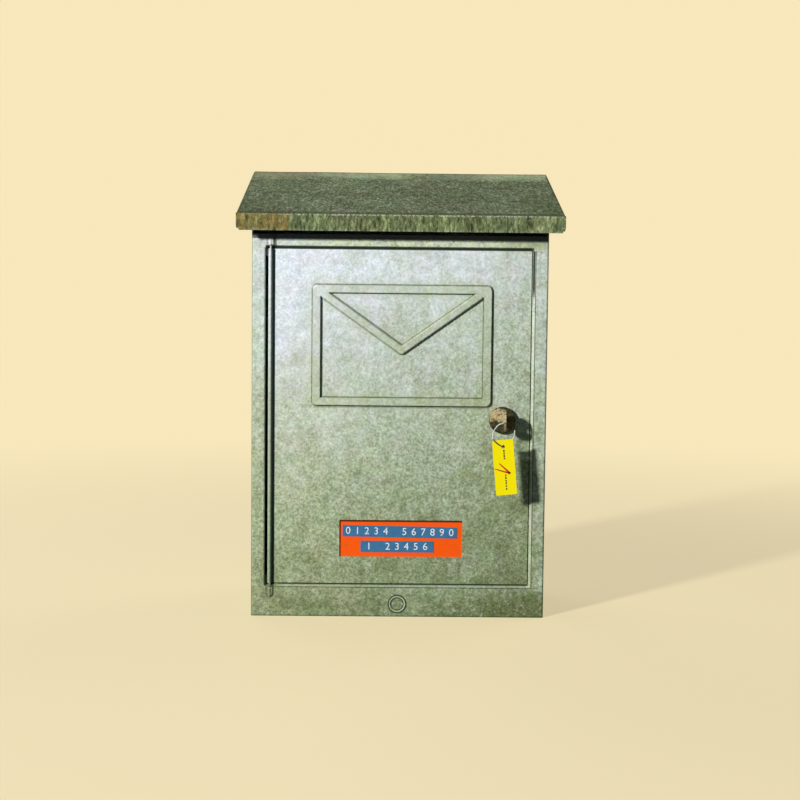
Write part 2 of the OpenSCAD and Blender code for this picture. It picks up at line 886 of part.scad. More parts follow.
// A closed tube of n sides along a route
module tube(p, r, n) {
    last = len(p) - 1;
    points = [for (i = [0 : last]) each ring(p, i, r, n)];
    walls = [for (i = [0 : last - 1], k = [0 : n - 1])
        let (k2 = (k + 1) % n)
        each [
            [i * n + k, (i + 1) * n + k, (i + 1) * n + k2],
            [i * n + k, (i + 1) * n + k2, i * n + k2]
        ]];
    first_cap = [for (k = [0 : n - 1]) k];
    last_cap = [for (k = [n - 1 : -1 : 0]) last * n + k];
    polyhedron(points, concat([first_cap], walls, [last_cap]));
}

module tag_string() {
    hole = [lock_x, bow_hole_y, lock_z];
    color("#efece2")
        tube([for (p = string_route) hole + p], string_d / 2, string_sides);
}

module key_tag() {
    color("#f7dc1a")
        translate([lock_x + tag_shift, tag_y, lock_z - tag_drop])
            rotate([0, -tag_tilt, 0])
                plate(-tag_t / 2, tag_t)
                    difference() {
                        translate([-tag_w / 2, tag_hole_in - tag_l])
                            square([tag_w, tag_l]);
                        circle(tag_hole_d / 2);
                    }
}

casing_shell();
bottom_pan();
back_panel();
back_rivets();
roof_hood();
hinge_pin();
door_panel();
label_holder();
label_card();
label_tape_upper();
label_tape_lower();
lock_housing();
lock_washer();
lock_nut();
lock_plug();
lock_wafers();
lock_cam();
cam_screw();
key();
tag_string();
key_tag();
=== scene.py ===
"""Weathered galvanised wall mailbox: the finish of every piece, the tag on its string, the studio."""
import json
import math

import bmesh
import bpy
from bpy.props import FloatProperty, FloatVectorProperty, PointerProperty, StringProperty
from mathutils import Matrix, Vector, noise


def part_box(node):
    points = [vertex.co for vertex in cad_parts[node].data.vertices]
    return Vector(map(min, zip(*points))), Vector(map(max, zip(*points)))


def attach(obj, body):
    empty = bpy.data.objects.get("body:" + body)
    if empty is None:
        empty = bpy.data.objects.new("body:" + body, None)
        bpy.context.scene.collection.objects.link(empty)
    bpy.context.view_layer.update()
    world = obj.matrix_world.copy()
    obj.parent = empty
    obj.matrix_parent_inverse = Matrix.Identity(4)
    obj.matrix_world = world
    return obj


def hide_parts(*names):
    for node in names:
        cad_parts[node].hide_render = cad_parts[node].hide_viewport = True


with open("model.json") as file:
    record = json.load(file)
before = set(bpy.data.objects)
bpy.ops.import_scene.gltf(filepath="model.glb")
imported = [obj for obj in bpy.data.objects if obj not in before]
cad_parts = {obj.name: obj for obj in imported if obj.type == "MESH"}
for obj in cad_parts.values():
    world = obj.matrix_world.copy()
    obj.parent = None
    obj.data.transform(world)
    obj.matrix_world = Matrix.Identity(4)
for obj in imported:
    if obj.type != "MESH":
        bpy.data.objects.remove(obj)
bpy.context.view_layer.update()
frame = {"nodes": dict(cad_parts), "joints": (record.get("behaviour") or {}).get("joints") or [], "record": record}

bl_info = {
    "name": "Weathered Mailbox",
    "version": (1, 0, 0),
    "blender": (4, 5, 0),
    "location": "View3D > Sidebar > Mailbox",
    "description": "Finishes a galvanised wall mailbox with its lock, key and tag",
    "category": "Add Mesh",
}

MM = 0.001
SHEET = 0.8 * MM
JOINTS = {j["name"]: j for j in frame["joints"]}
HINGE = Vector(JOINTS["door_swing"]["pos_m"])
LOCK = Vector(JOINTS["lock_turn"]["pos_m"])
BOW_HOLE = Vector(JOINTS["tag_swing"]["pos_m"])
# The hood's front lip: its height, and how wide and how high its corners are cut
LIP_HEIGHT = 13.5 * MM
LIP_CUT = Vector((2.5 * MM, 0, 4 * MM))
# How far the card reaches behind the window's edges
WINDOW_LAP = 4 * MM
# Radius of the door's hole for the lock, under the rosette
LOCK_HOLE = 8.8 * MM
# The casing's front face, and the pressed ring at its foot
FRONT = -55 * MM
RING_MIDDLE = 10.6 * MM
RING_RADIUS = 7 * MM
# From the door's ends to the middle of the round ends of the pockets over the pin
POCKET_REACH = 8.6 * MM
# Edges that turn by more than this are broken
SHARP = math.radians(28)
STRING_WIDTH = 1.0 * MM
# The string's route from its knot behind the tag, up through the bow's hole, down in front
# of the tag and back through the tag's hole, in millimetres from the bow's hole
STRING_ROUTE = [
    (0.9, -0.1, -18.9), (2.6, 0.2, -17.4), (5.2, 1.0, -15.4), (7.4, 2.2, -13.2),
    (8.5, 3.3, -10.4), (8.5, 4.0, -7.4), (7.2, 3.7, -4.4), (4.6, 2.0, -2.1),
    (1.6, 0.3, -1.2), (-1.6, -0.1, -1.2), (-4.8, 0, -2.4), (-7.2, -0.1, -5.0),
    (-8.9, -0.4, -8.2), (-9.5, -1.0, -11.4), (-9.0, -1.9, -14.2), (-7.2, -2.3, -16.4),
    (-4.8, -2.4, -18.2), (-2.6, -2.2, -19.4), (-1.2, -1.4, -19.8), (-0.4, -0.5, -20.2),
]


# ---------- settings ----------

def colour_property(name, description, default):
    return FloatVectorProperty(
        name=name, description=description, subtype="COLOR", size=3,
        min=0.0, max=1.0, default=default,
    )


def length_property(name, description, default):
    return FloatProperty(
        name=name, description=description, unit="LENGTH", min=0.0, default=default, precision=5,
    )


class MailboxSheet(bpy.types.PropertyGroup):
    """Sizes and colours of the zinc sheet"""
    hood_fold: length_property("Hood fold", "Outside radius of the hood's folds", 1.6 * MM)
    edge_break: length_property("Edge break", "Rounding of the casing's sharp edges", 0.3 * MM)
    stroke_top: length_property("Stroke top", "Half the flat top of the raised strokes", 2.9 * MM)
    stroke_foot: length_property("Stroke foot", "Half the foot of the raised strokes", 3.6 * MM)
    stroke_height: length_property("Stroke height", "Height of the raised strokes", 2.2 * MM)
    buckle: length_property("Buckle", "How far the sheets are out of flat", 0.35 * MM)
    clean: colour_property("Clean zinc", "Zinc where rain keeps it clean", (0.78, 0.81, 0.84))
    pale: colour_property("Pale zinc", "Zinc with a trace of dirt", (0.60, 0.65, 0.57))
    grey: colour_property("Grey zinc", "Zinc with a thin film of dirt", (0.42, 0.48, 0.33))
    dull: colour_property("Dull zinc", "Zinc with a thick film of dirt", (0.265, 0.315, 0.17))
    olive: colour_property("Olive grime", "Grime low down on the box", (0.14, 0.17, 0.065))
    # Also used as painted shade on the casing's top step, above the hinge's groove and on the pockets' right sides
    groove: colour_property("Groove dirt", "Black-green dirt along folds and gaps", (0.025, 0.045, 0.022))
    moss: colour_property("Moss", "Dark growth on the hood", (0.118, 0.147, 0.078))
    lichen: colour_property("Lichen", "Yellow-green drips on the lip", (0.21, 0.25, 0.10))
    rust: colour_property("Rust", "Ochre rust on the lip", (0.25, 0.155, 0.030))


class MailboxTrim(bpy.types.PropertyGroup):
    """Colours of the name card, the lock and the tag"""
    card: colour_property("Card", "Orange of the name card", (1.0, 0.105, 0.002))
    tape: colour_property("Tape", "Blue of the stuck-on tapes", (0.045, 0.16, 0.30))
    tag: colour_property("Tag", "Yellow of the tag", (1.0, 0.82, 0.0))
    mark: colour_property("Mark", "Red of the tag's number", (0.50, 0.035, 0.006))
    brass: colour_property("Brass", "Worn brass of the lock", (0.50, 0.43, 0.24))
    # Also the painted shade on the lock's right half, in the key bow's shadow
    tarnish_and_shade: colour_property("Tarnish", "Dark film on the lock", (0.034, 0.033, 0.013))
    upper_digits: StringProperty(name="Upper digits", description="Digits on the upper tape",
                                 default="01234 567890")
    lower_digits: StringProperty(name="Lower digits", description="Digits on the lower tape",
                                 default="1 23456")


class MailboxStage(bpy.types.PropertyGroup):
    """Camera and light"""
    eye: FloatVectorProperty(name="Eye", description="Place of the camera", subtype="XYZ",
                             unit="LENGTH", default=(-0.0081, -1.0351, 0.2354))
    look_up: FloatProperty(name="Look up", description="Camera's tilt above the horizon",
                           subtype="ANGLE", default=-0.0568)
    look_right: FloatProperty(name="Look right", description="Camera's turn to the right",
                              subtype="ANGLE", default=0.0090)
    lean: FloatProperty(name="Lean", description="Camera's lean to the side",
                        subtype="ANGLE", default=0.0101)
    lens: FloatProperty(name="Lens", description="Focal length in millimetres", default=53.92)
    key_power: FloatProperty(name="Key power", description="Power of the key light",
                             unit="POWER", default=222.0)
    fill_power: FloatProperty(name="Fill power", description="Power of each light behind",
                              unit="POWER", default=22.0)
    sky: FloatProperty(name="Sky", description="Strength of the light from all round", default=0.13)
    backdrop: colour_property("Backdrop", "Colour behind the box", (0.94, 0.80, 0.50))


# ---------- mesh helpers ----------

def look():
    return bpy.context.scene.mailbox_sheet


def trim():
    return bpy.context.scene.mailbox_trim


def fresh():
    """Leaves edit mode and deselects everything, ready for a new primitive."""
    if bpy.context.object and bpy.context.object.mode != "OBJECT":
        bpy.ops.object.mode_set(mode="OBJECT")
    bpy.ops.object.select_all(action="DESELECT")


def only(obj):
    """Makes obj the one selected and active object."""
    fresh()
    obj.hide_set(False)
    obj.select_set(True)
    bpy.context.view_layer.objects.active = obj
    return obj


def modify(obj, kind, **settings):
    """Adds one modifier to obj and applies it."""
    only(obj)
    mod = obj.modifiers.new(kind.title(), kind)
    for key, value in settings.items():
        setattr(mod, key, value)
    bpy.ops.object.modifier_apply(modifier=mod.name)
    return obj


def smooth(obj, degrees=35):
    """Smooth shading with sharp edges kept, and flat faces kept flat."""
    only(obj)
    bpy.ops.object.shade_smooth_by_angle(angle=math.radians(degrees))
    return modify(obj, "WEIGHTED_NORMAL", keep_sharp=True, weight=100)


def settle(obj):
    """Moves obj's place into its mesh."""
    only(obj)
    bpy.ops.object.transform_apply(location=True, rotation=True, scale=True)
    return obj


def new_object(name, mesh):
    obj = bpy.data.objects.new(name, mesh)
    bpy.context.collection.objects.link(obj)
    return obj


def mesh_object(name, bm):
    """A new object from a bmesh, with its faces pointing outwards."""
    bmesh.ops.recalc_face_normals(bm, faces=bm.faces)
    mesh = bpy.data.meshes.new(name)
    bm.to_mesh(mesh)
    bm.free()
    return new_object(name, mesh)


def copy_of(node, name):
    """A merged copy of a CAD node's mesh, with its flat faces joined."""
    mesh = frame["nodes"][node].data.copy()
    mesh.name = name
    mesh.materials.clear()
    obj = only(new_object(name, mesh))
    bpy.ops.object.mode_set(mode="EDIT")
    bpy.ops.mesh.select_all(action="SELECT")
    bpy.ops.mesh.remove_doubles(threshold=1e-6)
    bpy.ops.mesh.dissolve_limited(angle_limit=math.radians(0.5))
    bpy.ops.mesh.customdata_custom_splitnormals_clear()
    bpy.ops.object.mode_set(mode="OBJECT")
    return obj


def worn_copy(node, name, edge, material, segments=2, miter="MITER_ARC"):
    """A copy of a CAD node with its edges broken, in its place and in its finish."""
    obj = copy_of(node, name)
    modify(obj, "BEVEL", width=edge, segments=segments, limit_method="ANGLE",
           angle_limit=SHARP, use_clamp_overlap=True, miter_outer=miter)
    smooth(obj)
    return dress(obj, material, node)


def dress(obj, material, *nodes, body=None, slot=None):
    """Gives obj its finish and its body and hides the CAD nodes that it stands for; its slot is looked up but not
    kept.
    """
    obj.data.materials.clear()
    obj.data.materials.append(material)
    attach(obj, body or body_of_node(nodes[0]))
    if nodes:
        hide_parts(*nodes)
    slot or slot_of_node(nodes[0])
    return obj


def body_of_node(node):
    for body, members in frame["record"]["behaviour"]["bodies"].items():
        if node in members:
            return body
    raise ValueError(f"no body holds {node}")


def slot_of_node(node):
    for part in frame["record"]["subparts"]:
        if part["node"] == node:
            return part["material_slot"]
    raise ValueError(f"no slot for {node}")


def spread(*stops):
    """Ascending values: (start, stop, pitch) stretches, each end kept exactly."""
    values = []
    for start, stop, pitch in stops:
        count = max(1, round((stop - start) / pitch))
        values += [start + (stop - start) * i / count for i in range(count)]
    return values + [stops[-1][1]]


def folded_sheet(name, us, vs, place, kept=lambda u, v: True):
    """A closed sheet: place(u, v) gives its front and its back point, kept says which cells exist."""
    bm = bmesh.new()
    front, back = {}, {}
    cells = {
        (i, j)
        for i in range(len(us) - 1)
        for j in range(len(vs) - 1)
        if kept((us[i] + us[i + 1]) / 2, (vs[j] + vs[j + 1]) / 2)
    }

    def corner(c):
        if c not in front:
            a, b = place(us[c[0]], vs[c[1]])
            front[c] = bm.verts.new(a)
            back[c] = bm.verts.new(b)
        return c

    for i, j in sorted(cells):
        ring = [corner(c) for c in ((i, j), (i + 1, j), (i + 1, j + 1), (i, j + 1))]
        bm.faces.new([front[c] for c in ring])
        bm.faces.new([back[c] for c in reversed(ring)])
        beyond = ((i, j - 1), (i + 1, j), (i, j + 1), (i - 1, j))
        for k, cell in enumerate(beyond):
            if cell not in cells:
                a, b = ring[k], ring[(k + 1) % 4]
                bm.faces.new([front[b], front[a], back[a], back[b]])
    return mesh_object(name, bm)


def buckle(point, size=90 * MM, seed=0.0):
    """How far a sheet is out of flat at a point, from 0 to 1."""
    wave = noise.noise(point / size + Vector((seed, seed * 1.7, seed * 0.6)))
    fine = noise.noise(point / (size * 0.35) + Vector((seed * 2.3, 4.0, seed)))
    return min(1.0, max(0.0, 0.5 + 0.75 * wave + 0.25 * fine))


# ---------- material helpers ----------

class Value:
    """A number or colour that differs from place to place on a piece, for plain sums and products."""

    def __init__(self, finish, socket):
        self.finish = finish
        self.socket = socket

    def __add__(self, other):
        return self.finish.math("ADD", self, other)

    def __radd__(self, other):
        return self.finish.math("ADD", other, self)

    def __sub__(self, other):
        return self.finish.math("SUBTRACT", self, other)

    def __rsub__(self, other):
        return self.finish.math("SUBTRACT", other, self)

    def __mul__(self, other):
        return self.finish.math("MULTIPLY", self, other)

    def __rmul__(self, other):
        return self.finish.math("MULTIPLY", other, self)

    def __abs__(self):
        return self.finish.math("ABSOLUTE", self)


class Finish:
    """Builds one material from nodes."""

    def __init__(self, name):
        self.material = bpy.data.materials.new(name)
        self.material.use_nodes = True
        self.tree = self.material.node_tree
        self.tree.nodes.clear()
        self.output = self.node("ShaderNodeOutputMaterial")
        self.shader = self.node("ShaderNodeBsdfPrincipled")
        self.tree.links.new(self.shader.outputs[0], self.output.inputs[0])
        self.place = self.node("ShaderNodeTexCoord").outputs["Object"]

    def feed(self, socket, value):
        """Links a value to a socket, or sets it there if it is the same all over."""
        value = getattr(value, "socket", value)
        if isinstance(value, bpy.types.NodeSocket):
            self.tree.links.new(value, socket)
        elif hasattr(value, "__len__") and len(value) == 3 and socket.type == "RGBA":
            socket.default_value = (*value, 1.0)
        else:
            socket.default_value = value

    def node(self, kind, inputs=None, **settings):
        """A new node, with its settings made and its inputs fed by name or number."""
        made = self.tree.nodes.new(kind)
        for key, value in settings.items():
            setattr(made, key, value)
        for key, value in (inputs or {}).items():
            self.feed(made.inputs[key], value)
        return made

    def value(self, kind, inputs=None, out=0, **settings):
        """What a new node gives out."""
        return Value(self, self.node(kind, inputs, **settings).outputs[out])

    def math(self, operation, a, b=0.0, clamp=False):
        return self.value("ShaderNodeMath", {0: a, 1: b}, operation=operation, use_clamp=clamp)

    def most(self, a, b):
        """The larger of two values."""
        return self.math("MAXIMUM", a, b)

    def axes(self):
        """X, Y and Z of a place on the piece."""
        made = self.node("ShaderNodeSeparateXYZ", {0: self.place})
        return [Value(self, output) for output in made.outputs]

    def away(self, point):
        """Distance from a point of the object's own space."""
        return self.value("ShaderNodeVectorMath", {0: self.place, 1: point}, "Value", operation="DISTANCE")

    def moved(self, scale=(1, 1, 1), place=(0, 0, 0), turn=(0, 0, 0), vector=None):
        """The place on the piece, scaled, shifted and turned for a pattern."""
        return self.value("ShaderNodeMapping", {
            "Vector": vector or self.place, "Scale": scale, "Location": place, "Rotation": turn})

    def noise(self, scale, detail=3.0, rough=0.55, bend=0.0, vector=None):
        """Clouds from 0 to 1, finer as scale grows."""
        return self.value("ShaderNodeTexNoise", {
            "Vector": vector or self.place, "Scale": scale, "Detail": detail,
            "Roughness": rough, "Distortion": bend}, "Fac")

    def cells(self, scale, vector=None):
        """A random shade for each cell, as crystals have."""
        inputs = {"Vector": vector or self.place, "Scale": scale}
        made = self.node("ShaderNodeTexVoronoi", inputs, feature="F1")
        return self.value("ShaderNodeSeparateColor", {0: made.outputs["Color"]})

    def stored(self, name):
        """A number kept at each of the piece's points."""
        return self.value("ShaderNodeAttribute", out="Fac", attribute_name=name)

    def span(self, value, low, high, to_low=0.0, to_high=1.0):
        """Maps low..high to to_low..to_high, clamped and eased."""
        return self.value("ShaderNodeMapRange", {
            "Value": value, "From Min": low, "From Max": high, "To Min": to_low, "To Max": to_high,
        }, "Result", interpolation_type="SMOOTHSTEP")

    def band(self, value, low, high, ease):
        """1 between low and high, easing to 0 on both sides."""
        return self.span(value, low - ease, low) * self.span(value, high + ease, high)

    def ramp(self, value, *stops):
        """The colour that stands at value among stops of (place, colour)."""
        made = self.node("ShaderNodeValToRGB", {0: value})
        elements = made.color_ramp.elements
        while len(elements) < len(stops):
            elements.new(0.5)
        for element, (place, colour) in zip(elements, stops):
            element.position = place
            element.color = (*colour, 1.0)
        return Value(self, made.outputs[0])

    def mix(self, share, a, b, blend="MIX"):
        """Colour a with share of colour b laid over it."""
        return self.value("ShaderNodeMix", {0: share, 6: a, 7: b}, 2, data_type="RGBA", blend_type=blend)

    def shade(self, colour, value):
        """colour times a grey value."""
        return self.value("ShaderNodeVectorMath", {0: colour, "Scale": value}, operation="SCALE")

    def tint(self, colour, scale, amount, detail=3.0):
        """colour with its hue and depth moved a little from place to place."""
        drift = self.node("ShaderNodeTexNoise", {"Vector": self.place, "Scale": scale, "Detail": detail})
        eased = self.node("ShaderNodeVectorMath", {
            0: drift.outputs["Color"], 1: (amount,) * 3, 2: (1 - amount / 2,) * 3}, operation="MULTIPLY_ADD")
        return self.value("ShaderNodeVectorMath", {0: colour, 1: eased.outputs[0]}, operation="MULTIPLY")

    def bump(self, height, distance, strength=1.0):
        """Shades the surface as if it stood out by height times distance."""
        made = self.node("ShaderNodeBump", {"Distance": distance, "Strength": strength, "Height": height})
        self.feed(self.shader.inputs["Normal"], made.outputs[0])

    def done(self, colour, roughness, metallic=0.0, specular=0.5):
        """Feeds the shader and gives the finished material."""
        inputs = self.shader.inputs
        self.feed(inputs["Base Color"], colour)
        self.feed(inputs["Roughness"], roughness)
        self.feed(inputs["Metallic"], metallic)
        self.feed(inputs["Specular IOR Level"], specular)
        return self.material


def spangle(f):
    """The crystal pattern of zinc, as a shade from 0 to 1."""
    bent = f.value("ShaderNodeVectorMath", {2: f.place, 0: f.noise(160, 2), 1: (4 * MM,) * 3},
                   operation="MULTIPLY_ADD")
    big = f.cells(210, f.moved((1, 1, 0.8), turn=(0.2, 0.5, 0.3), vector=bent))
    small = f.cells(430, f.moved((1.2, 1, 1), turn=(0.4, 0.1, 0.9), vector=bent))
    return big * 0.5 + small * 0.5


def zinc_finish(name, start, rise, shade_slope_x, masks):
    """Galvanised sheet: start plus a slope up z and a slope across x set how far it goes from olive grime to clean
    zinc. It is dirtier low down, and the slopes also paint shade, brighter toward the light at the upper left and
    darker to the lower right. masks gives (share, colour) pairs to lay over it."""
    s = look()
    f = Finish(name)
    x, y, z = f.axes()
    crystals = spangle(f)
    cloud = f.noise(12, 3, 0.6, 0.4)
    blotch = f.noise(55, 4, 0.62, 0.7)
    mottle = f.noise(260, 4, 0.7, 0.5)
    grain = f.noise(480, 3, 0.6, 0.6)
    streak = f.noise(1.0, 4, 0.6, 0.3, f.moved((95, 95, 5)))
    # These slopes paint shade as well as dirt: brighter toward the light at the upper left, darker to the lower
    # right
    height = x * shade_slope_x + z * rise + start
    for wave, share in ((cloud, 0.36), (blotch, 0.52), (mottle, 0.22), (streak, 0.18), (crystals, 0.08)):
        height = height + (wave - 0.5) * share
    # The lowest part is darker, most of all at the right
    low_down = f.span(z, 30 * MM, 10 * MM, 0, 0.15) * (1.0 + x * 9.0)
    height = f.math("SUBTRACT", height, low_down, clamp=True)
    base = f.ramp(height, (0.0, s.olive), (0.27, s.dull), (0.52, s.grey),
                  (0.78, s.pale), (1.0, s.clean))
    tone = f.span(crystals, 0.1, 0.9, 0.94, 1.05) * f.span(mottle, 0.3, 0.7, 0.92, 1.07)
    # The grain shows more the dirtier the zinc is
    depth = f.span(height, 0.35, 0.85, 0.29, 0.10)
    tone = tone * (1.0 + depth * f.span(grain, 0.36, 0.64, -1.0, 1.0))
    colour = f.tint(f.tint(f.shade(base, tone), 60, 0.18), 700, 0.16)
    # A warm film low at the left, and bright flakes here and there
    warm = f.span(x, 20 * MM, -90 * MM) * f.span(z, 0.26, 0.12)
    colour = f.mix(warm * 0.7, colour, (1.0, 0.965, 0.82), "MULTIPLY")
    flakes = f.span(f.noise(420, 2, 0.5, 0.8), 0.60, 0.66) * f.span(blotch, 0.38, 0.58, 0.2, 1.0)
    colour = f.mix(flakes * 0.34, colour, (0.74, 0.78, 0.66))
    # Small rust-brown specks, thicker low down
    specks = f.span(f.noise(260, 3, 0.7), 0.69, 0.77) * f.span(z, 0.12, 0.0, 0.2, 1.0)
    colour = f.mix(specks * 0.5, colour, (0.20, 0.12, 0.05))
    for share, over in masks(f, x, y, z, mottle):
        colour = f.mix(share, colour, over)
    rough = f.span(crystals + mottle, 0.5, 1.5, 0.50, 0.68)
    f.bump(crystals * 0.3 + grain * 0.7, 0.10 * MM, 0.5)
    return f.done(colour, rough, specular=0.12)


def casing_masks(f, x, y, z, mottle):
    """Dirt along the step round the opening, round the pressed ring and along the outer folds; painted highlight
    on the steps that face the light, painted shadow under the hood, and painted shade on the top step, above the
    hinge's groove and on the pockets' right sides.
    """
    s = look()
    # This dark colour serves for dirt and also for painted shade
    dirt = s.groove
    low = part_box("casing_shell")[0]
    door_low, door_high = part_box("door_panel")
    middle = (door_low + door_high) / 2
    half = (door_high - door_low) / 2
    # How far a point is outside the door's outline
    out_x = abs(x - middle.x) - half.x
    out_z = abs(z - middle.z) - half.z
    out = f.most(out_x, out_z)
    on_front = f.span(y, door_high.y + 1.6 * MM, door_high.y + 0.7 * MM)
    patchy = f.span(mottle, 0.25, 0.55, 0.55, 1.0)
    past_hinge = f.span(x, HINGE.x + 4 * MM, HINGE.x + 8 * MM)
    below_top = f.span(z, door_high.z + 0.3 * MM, door_high.z - 0.3 * MM)
    step = 2 * MM
    rim = f.band(out, step + 0.9 * MM, step + 1.3 * MM, 0.3 * MM) * past_hinge * below_top
    gap = f.span(out, 1.1 * MM, 0.6 * MM)
    foot_gap = f.span(z, door_low.z - 1.7 * MM, door_low.z - 1.1 * MM)
    foot_gap = foot_gap * f.span(z, door_low.z + 1 * MM, door_low.z)
    gap = f.most(gap, foot_gap * past_hinge * f.span(out_x, 1 * MM, 0))
    # Painted shade on the top step, which faces down, joined to the dark gap
    top_step_shade = f.span(z, door_high.z - 0.3 * MM, door_high.z) * f.span(out_z, 2.7 * MM, 2.0 * MM)
    gap = f.most(gap, top_step_shade * f.span(out_x, 2 * MM, 1 * MM))
    beside_door = f.span(out_z, 1.5 * MM, 0.5 * MM)
    beside_hinge = beside_door * f.band(x, door_low.x - 3.0 * MM, door_low.x - 1.9 * MM, 0.4 * MM)
    # The two pockets over the pin's ends stand on one line with the hinge
    past_end = f.most(abs(z - middle.z) - (half.z + POCKET_REACH), 0)
    aside = x - HINGE.x
    from_pin = f.math("SQRT", aside * aside + past_end * past_end)
    pocket = f.band(from_pin, 2.2 * MM, 3.3 * MM, 0.5 * MM) * f.span(out_z, 1 * MM, 2 * MM)
    pocket_foot = f.span(from_pin, 3.3 * MM, 2.9 * MM) * f.band(out_z, -0.5 * MM, 3.2 * MM, 0.6 * MM)
    pocket = f.most(pocket, pocket_foot)
    # The steps at the right and at the foot, which face the light
    ledge = past_hinge * f.band(out, 1.3 * MM, step + 0.4 * MM, 0.4 * MM) * below_top
    ring_gap = f.away((0, FRONT, RING_MIDDLE))
    ring = f.band(ring_gap, RING_RADIUS - 0.1 * MM, RING_RADIUS + 0.7 * MM, 0.5 * MM)
    inside_ring = f.band(ring_gap, RING_RADIUS - 2.3 * MM, RING_RADIUS - 1.5 * MM, 0.4 * MM)
    on_ring = f.band(ring_gap, RING_RADIUS - 1.2 * MM, RING_RADIUS - 0.5 * MM, 0.3 * MM)
    left_fold = f.band(x, low.x - 1 * MM, low.x + 0.8 * MM, 0.5 * MM)
    foot_edge = f.span(z, 1.8 * MM, 0.3 * MM)
    top_strip = f.span(z, door_high.z - 1 * MM, door_high.z + 2 * MM) * on_front
    top_strip = top_strip * f.span(x, -112 * MM, -40 * MM, 0.1, 1.0)
    # Painted shadow of the hood's lip: a dark band across the front just below it
    painted_hood_shadow = f.span(z, door_high.z + 7.8 * MM, door_high.z + 8.8 * MM) * on_front
    corner = f.span(x, 60 * MM, 115 * MM) * f.span(z, door_high.z, door_high.z + 3 * MM)
    speckle = f.span(f.noise(340, 3, 0.6, 0.7), 0.50, 0.60)
    soil = f.span(f.noise(300, 3, 0.6, 0.4), 0.52, 0.64)
    # Dirt packed into the upper right of the step
    near_top = f.span(z + (speckle - 0.5) * (8 * MM), door_high.z - 46 * MM, door_high.z - 34 * MM)
    packed = ledge * near_top * f.span(x, middle.x, middle.x + 10 * MM)
    # Painted shade with dirt: the dark band beside the hinge runs on up past the pocket's right side
    shade_above_groove = f.band(x, HINGE.x + 2.6 * MM, HINGE.x + 4.6 * MM, 0.6 * MM)
    shade_above_groove = shade_above_groove * f.span(z, door_high.z - 1 * MM, door_high.z)
    return (
        (top_strip * 0.40, (0.50, 0.55, 0.32)),
        (top_strip * speckle * 0.70, (0.78, 0.84, 0.42)),
        (top_strip * soil * 0.50, (0.20, 0.24, 0.10)),
        (corner * 0.45, (0.26, 0.30, 0.15)),
        # Painted highlight on the steps that face the light
        (ledge * 0.34, (0.60, 0.59, 0.44)),
        (packed * 0.96, (0.016, 0.020, 0.008)),
        # Painted shade with dirt above the hinge's groove
        (shade_above_groove * on_front * 0.80, dirt),
        (rim * patchy * on_front * 0.80, dirt),
        # Dirt round the pockets, darker on their right sides as painted shade
        (pocket * patchy * f.span(aside, -1 * MM, 1 * MM, 0.45, 0.92), dirt),
        # Painted shadow under the hood
        (painted_hood_shadow * 0.90, (0.045, 0.050, 0.045)),
        # The dark gap round the door, with the painted shade of the top step
        (gap * on_front * 0.94, dirt),
        (beside_hinge * patchy * on_front * 0.75, dirt),
        (ring * patchy * 0.90, dirt),
        (inside_ring * patchy * 0.75, dirt),
        (on_ring * 0.5, (0.62, 0.68, 0.46)),
        (left_fold * 0.6, s.olive),
        (foot_edge * 0.6, dirt),
    )


def door_masks(f, x, y, z, mottle):
    """Painted shadow of the rolled edge, with dirt, in the groove beside the hinge, and dirt along the feet of the
    raised strokes.
    """
    s = look()
    grime, halo, groove = (f.stored(name) for name in ("grime", "halo", "groove"))
    patchy = f.span(mottle, 0.25, 0.6, 0.6, 1.0)
    loose = f.span(mottle, 0.40, 0.62, 0.1, 0.5)
    roll = f.span(x, HINGE.x + 0.4 * MM, HINGE.x)
    return (
        (halo * loose, (0.44, 0.48, 0.22)),
        (grime * patchy * 0.95, s.groove),
        (roll * f.span(z, 0.30, 0.10, 0.35, 0.65), (0.27, 0.31, 0.20)),
        # Painted shadow of the rolled edge on the panel, dark green with dirt
        (groove * 0.88, (0.030, 0.075, 0.050)),
    )


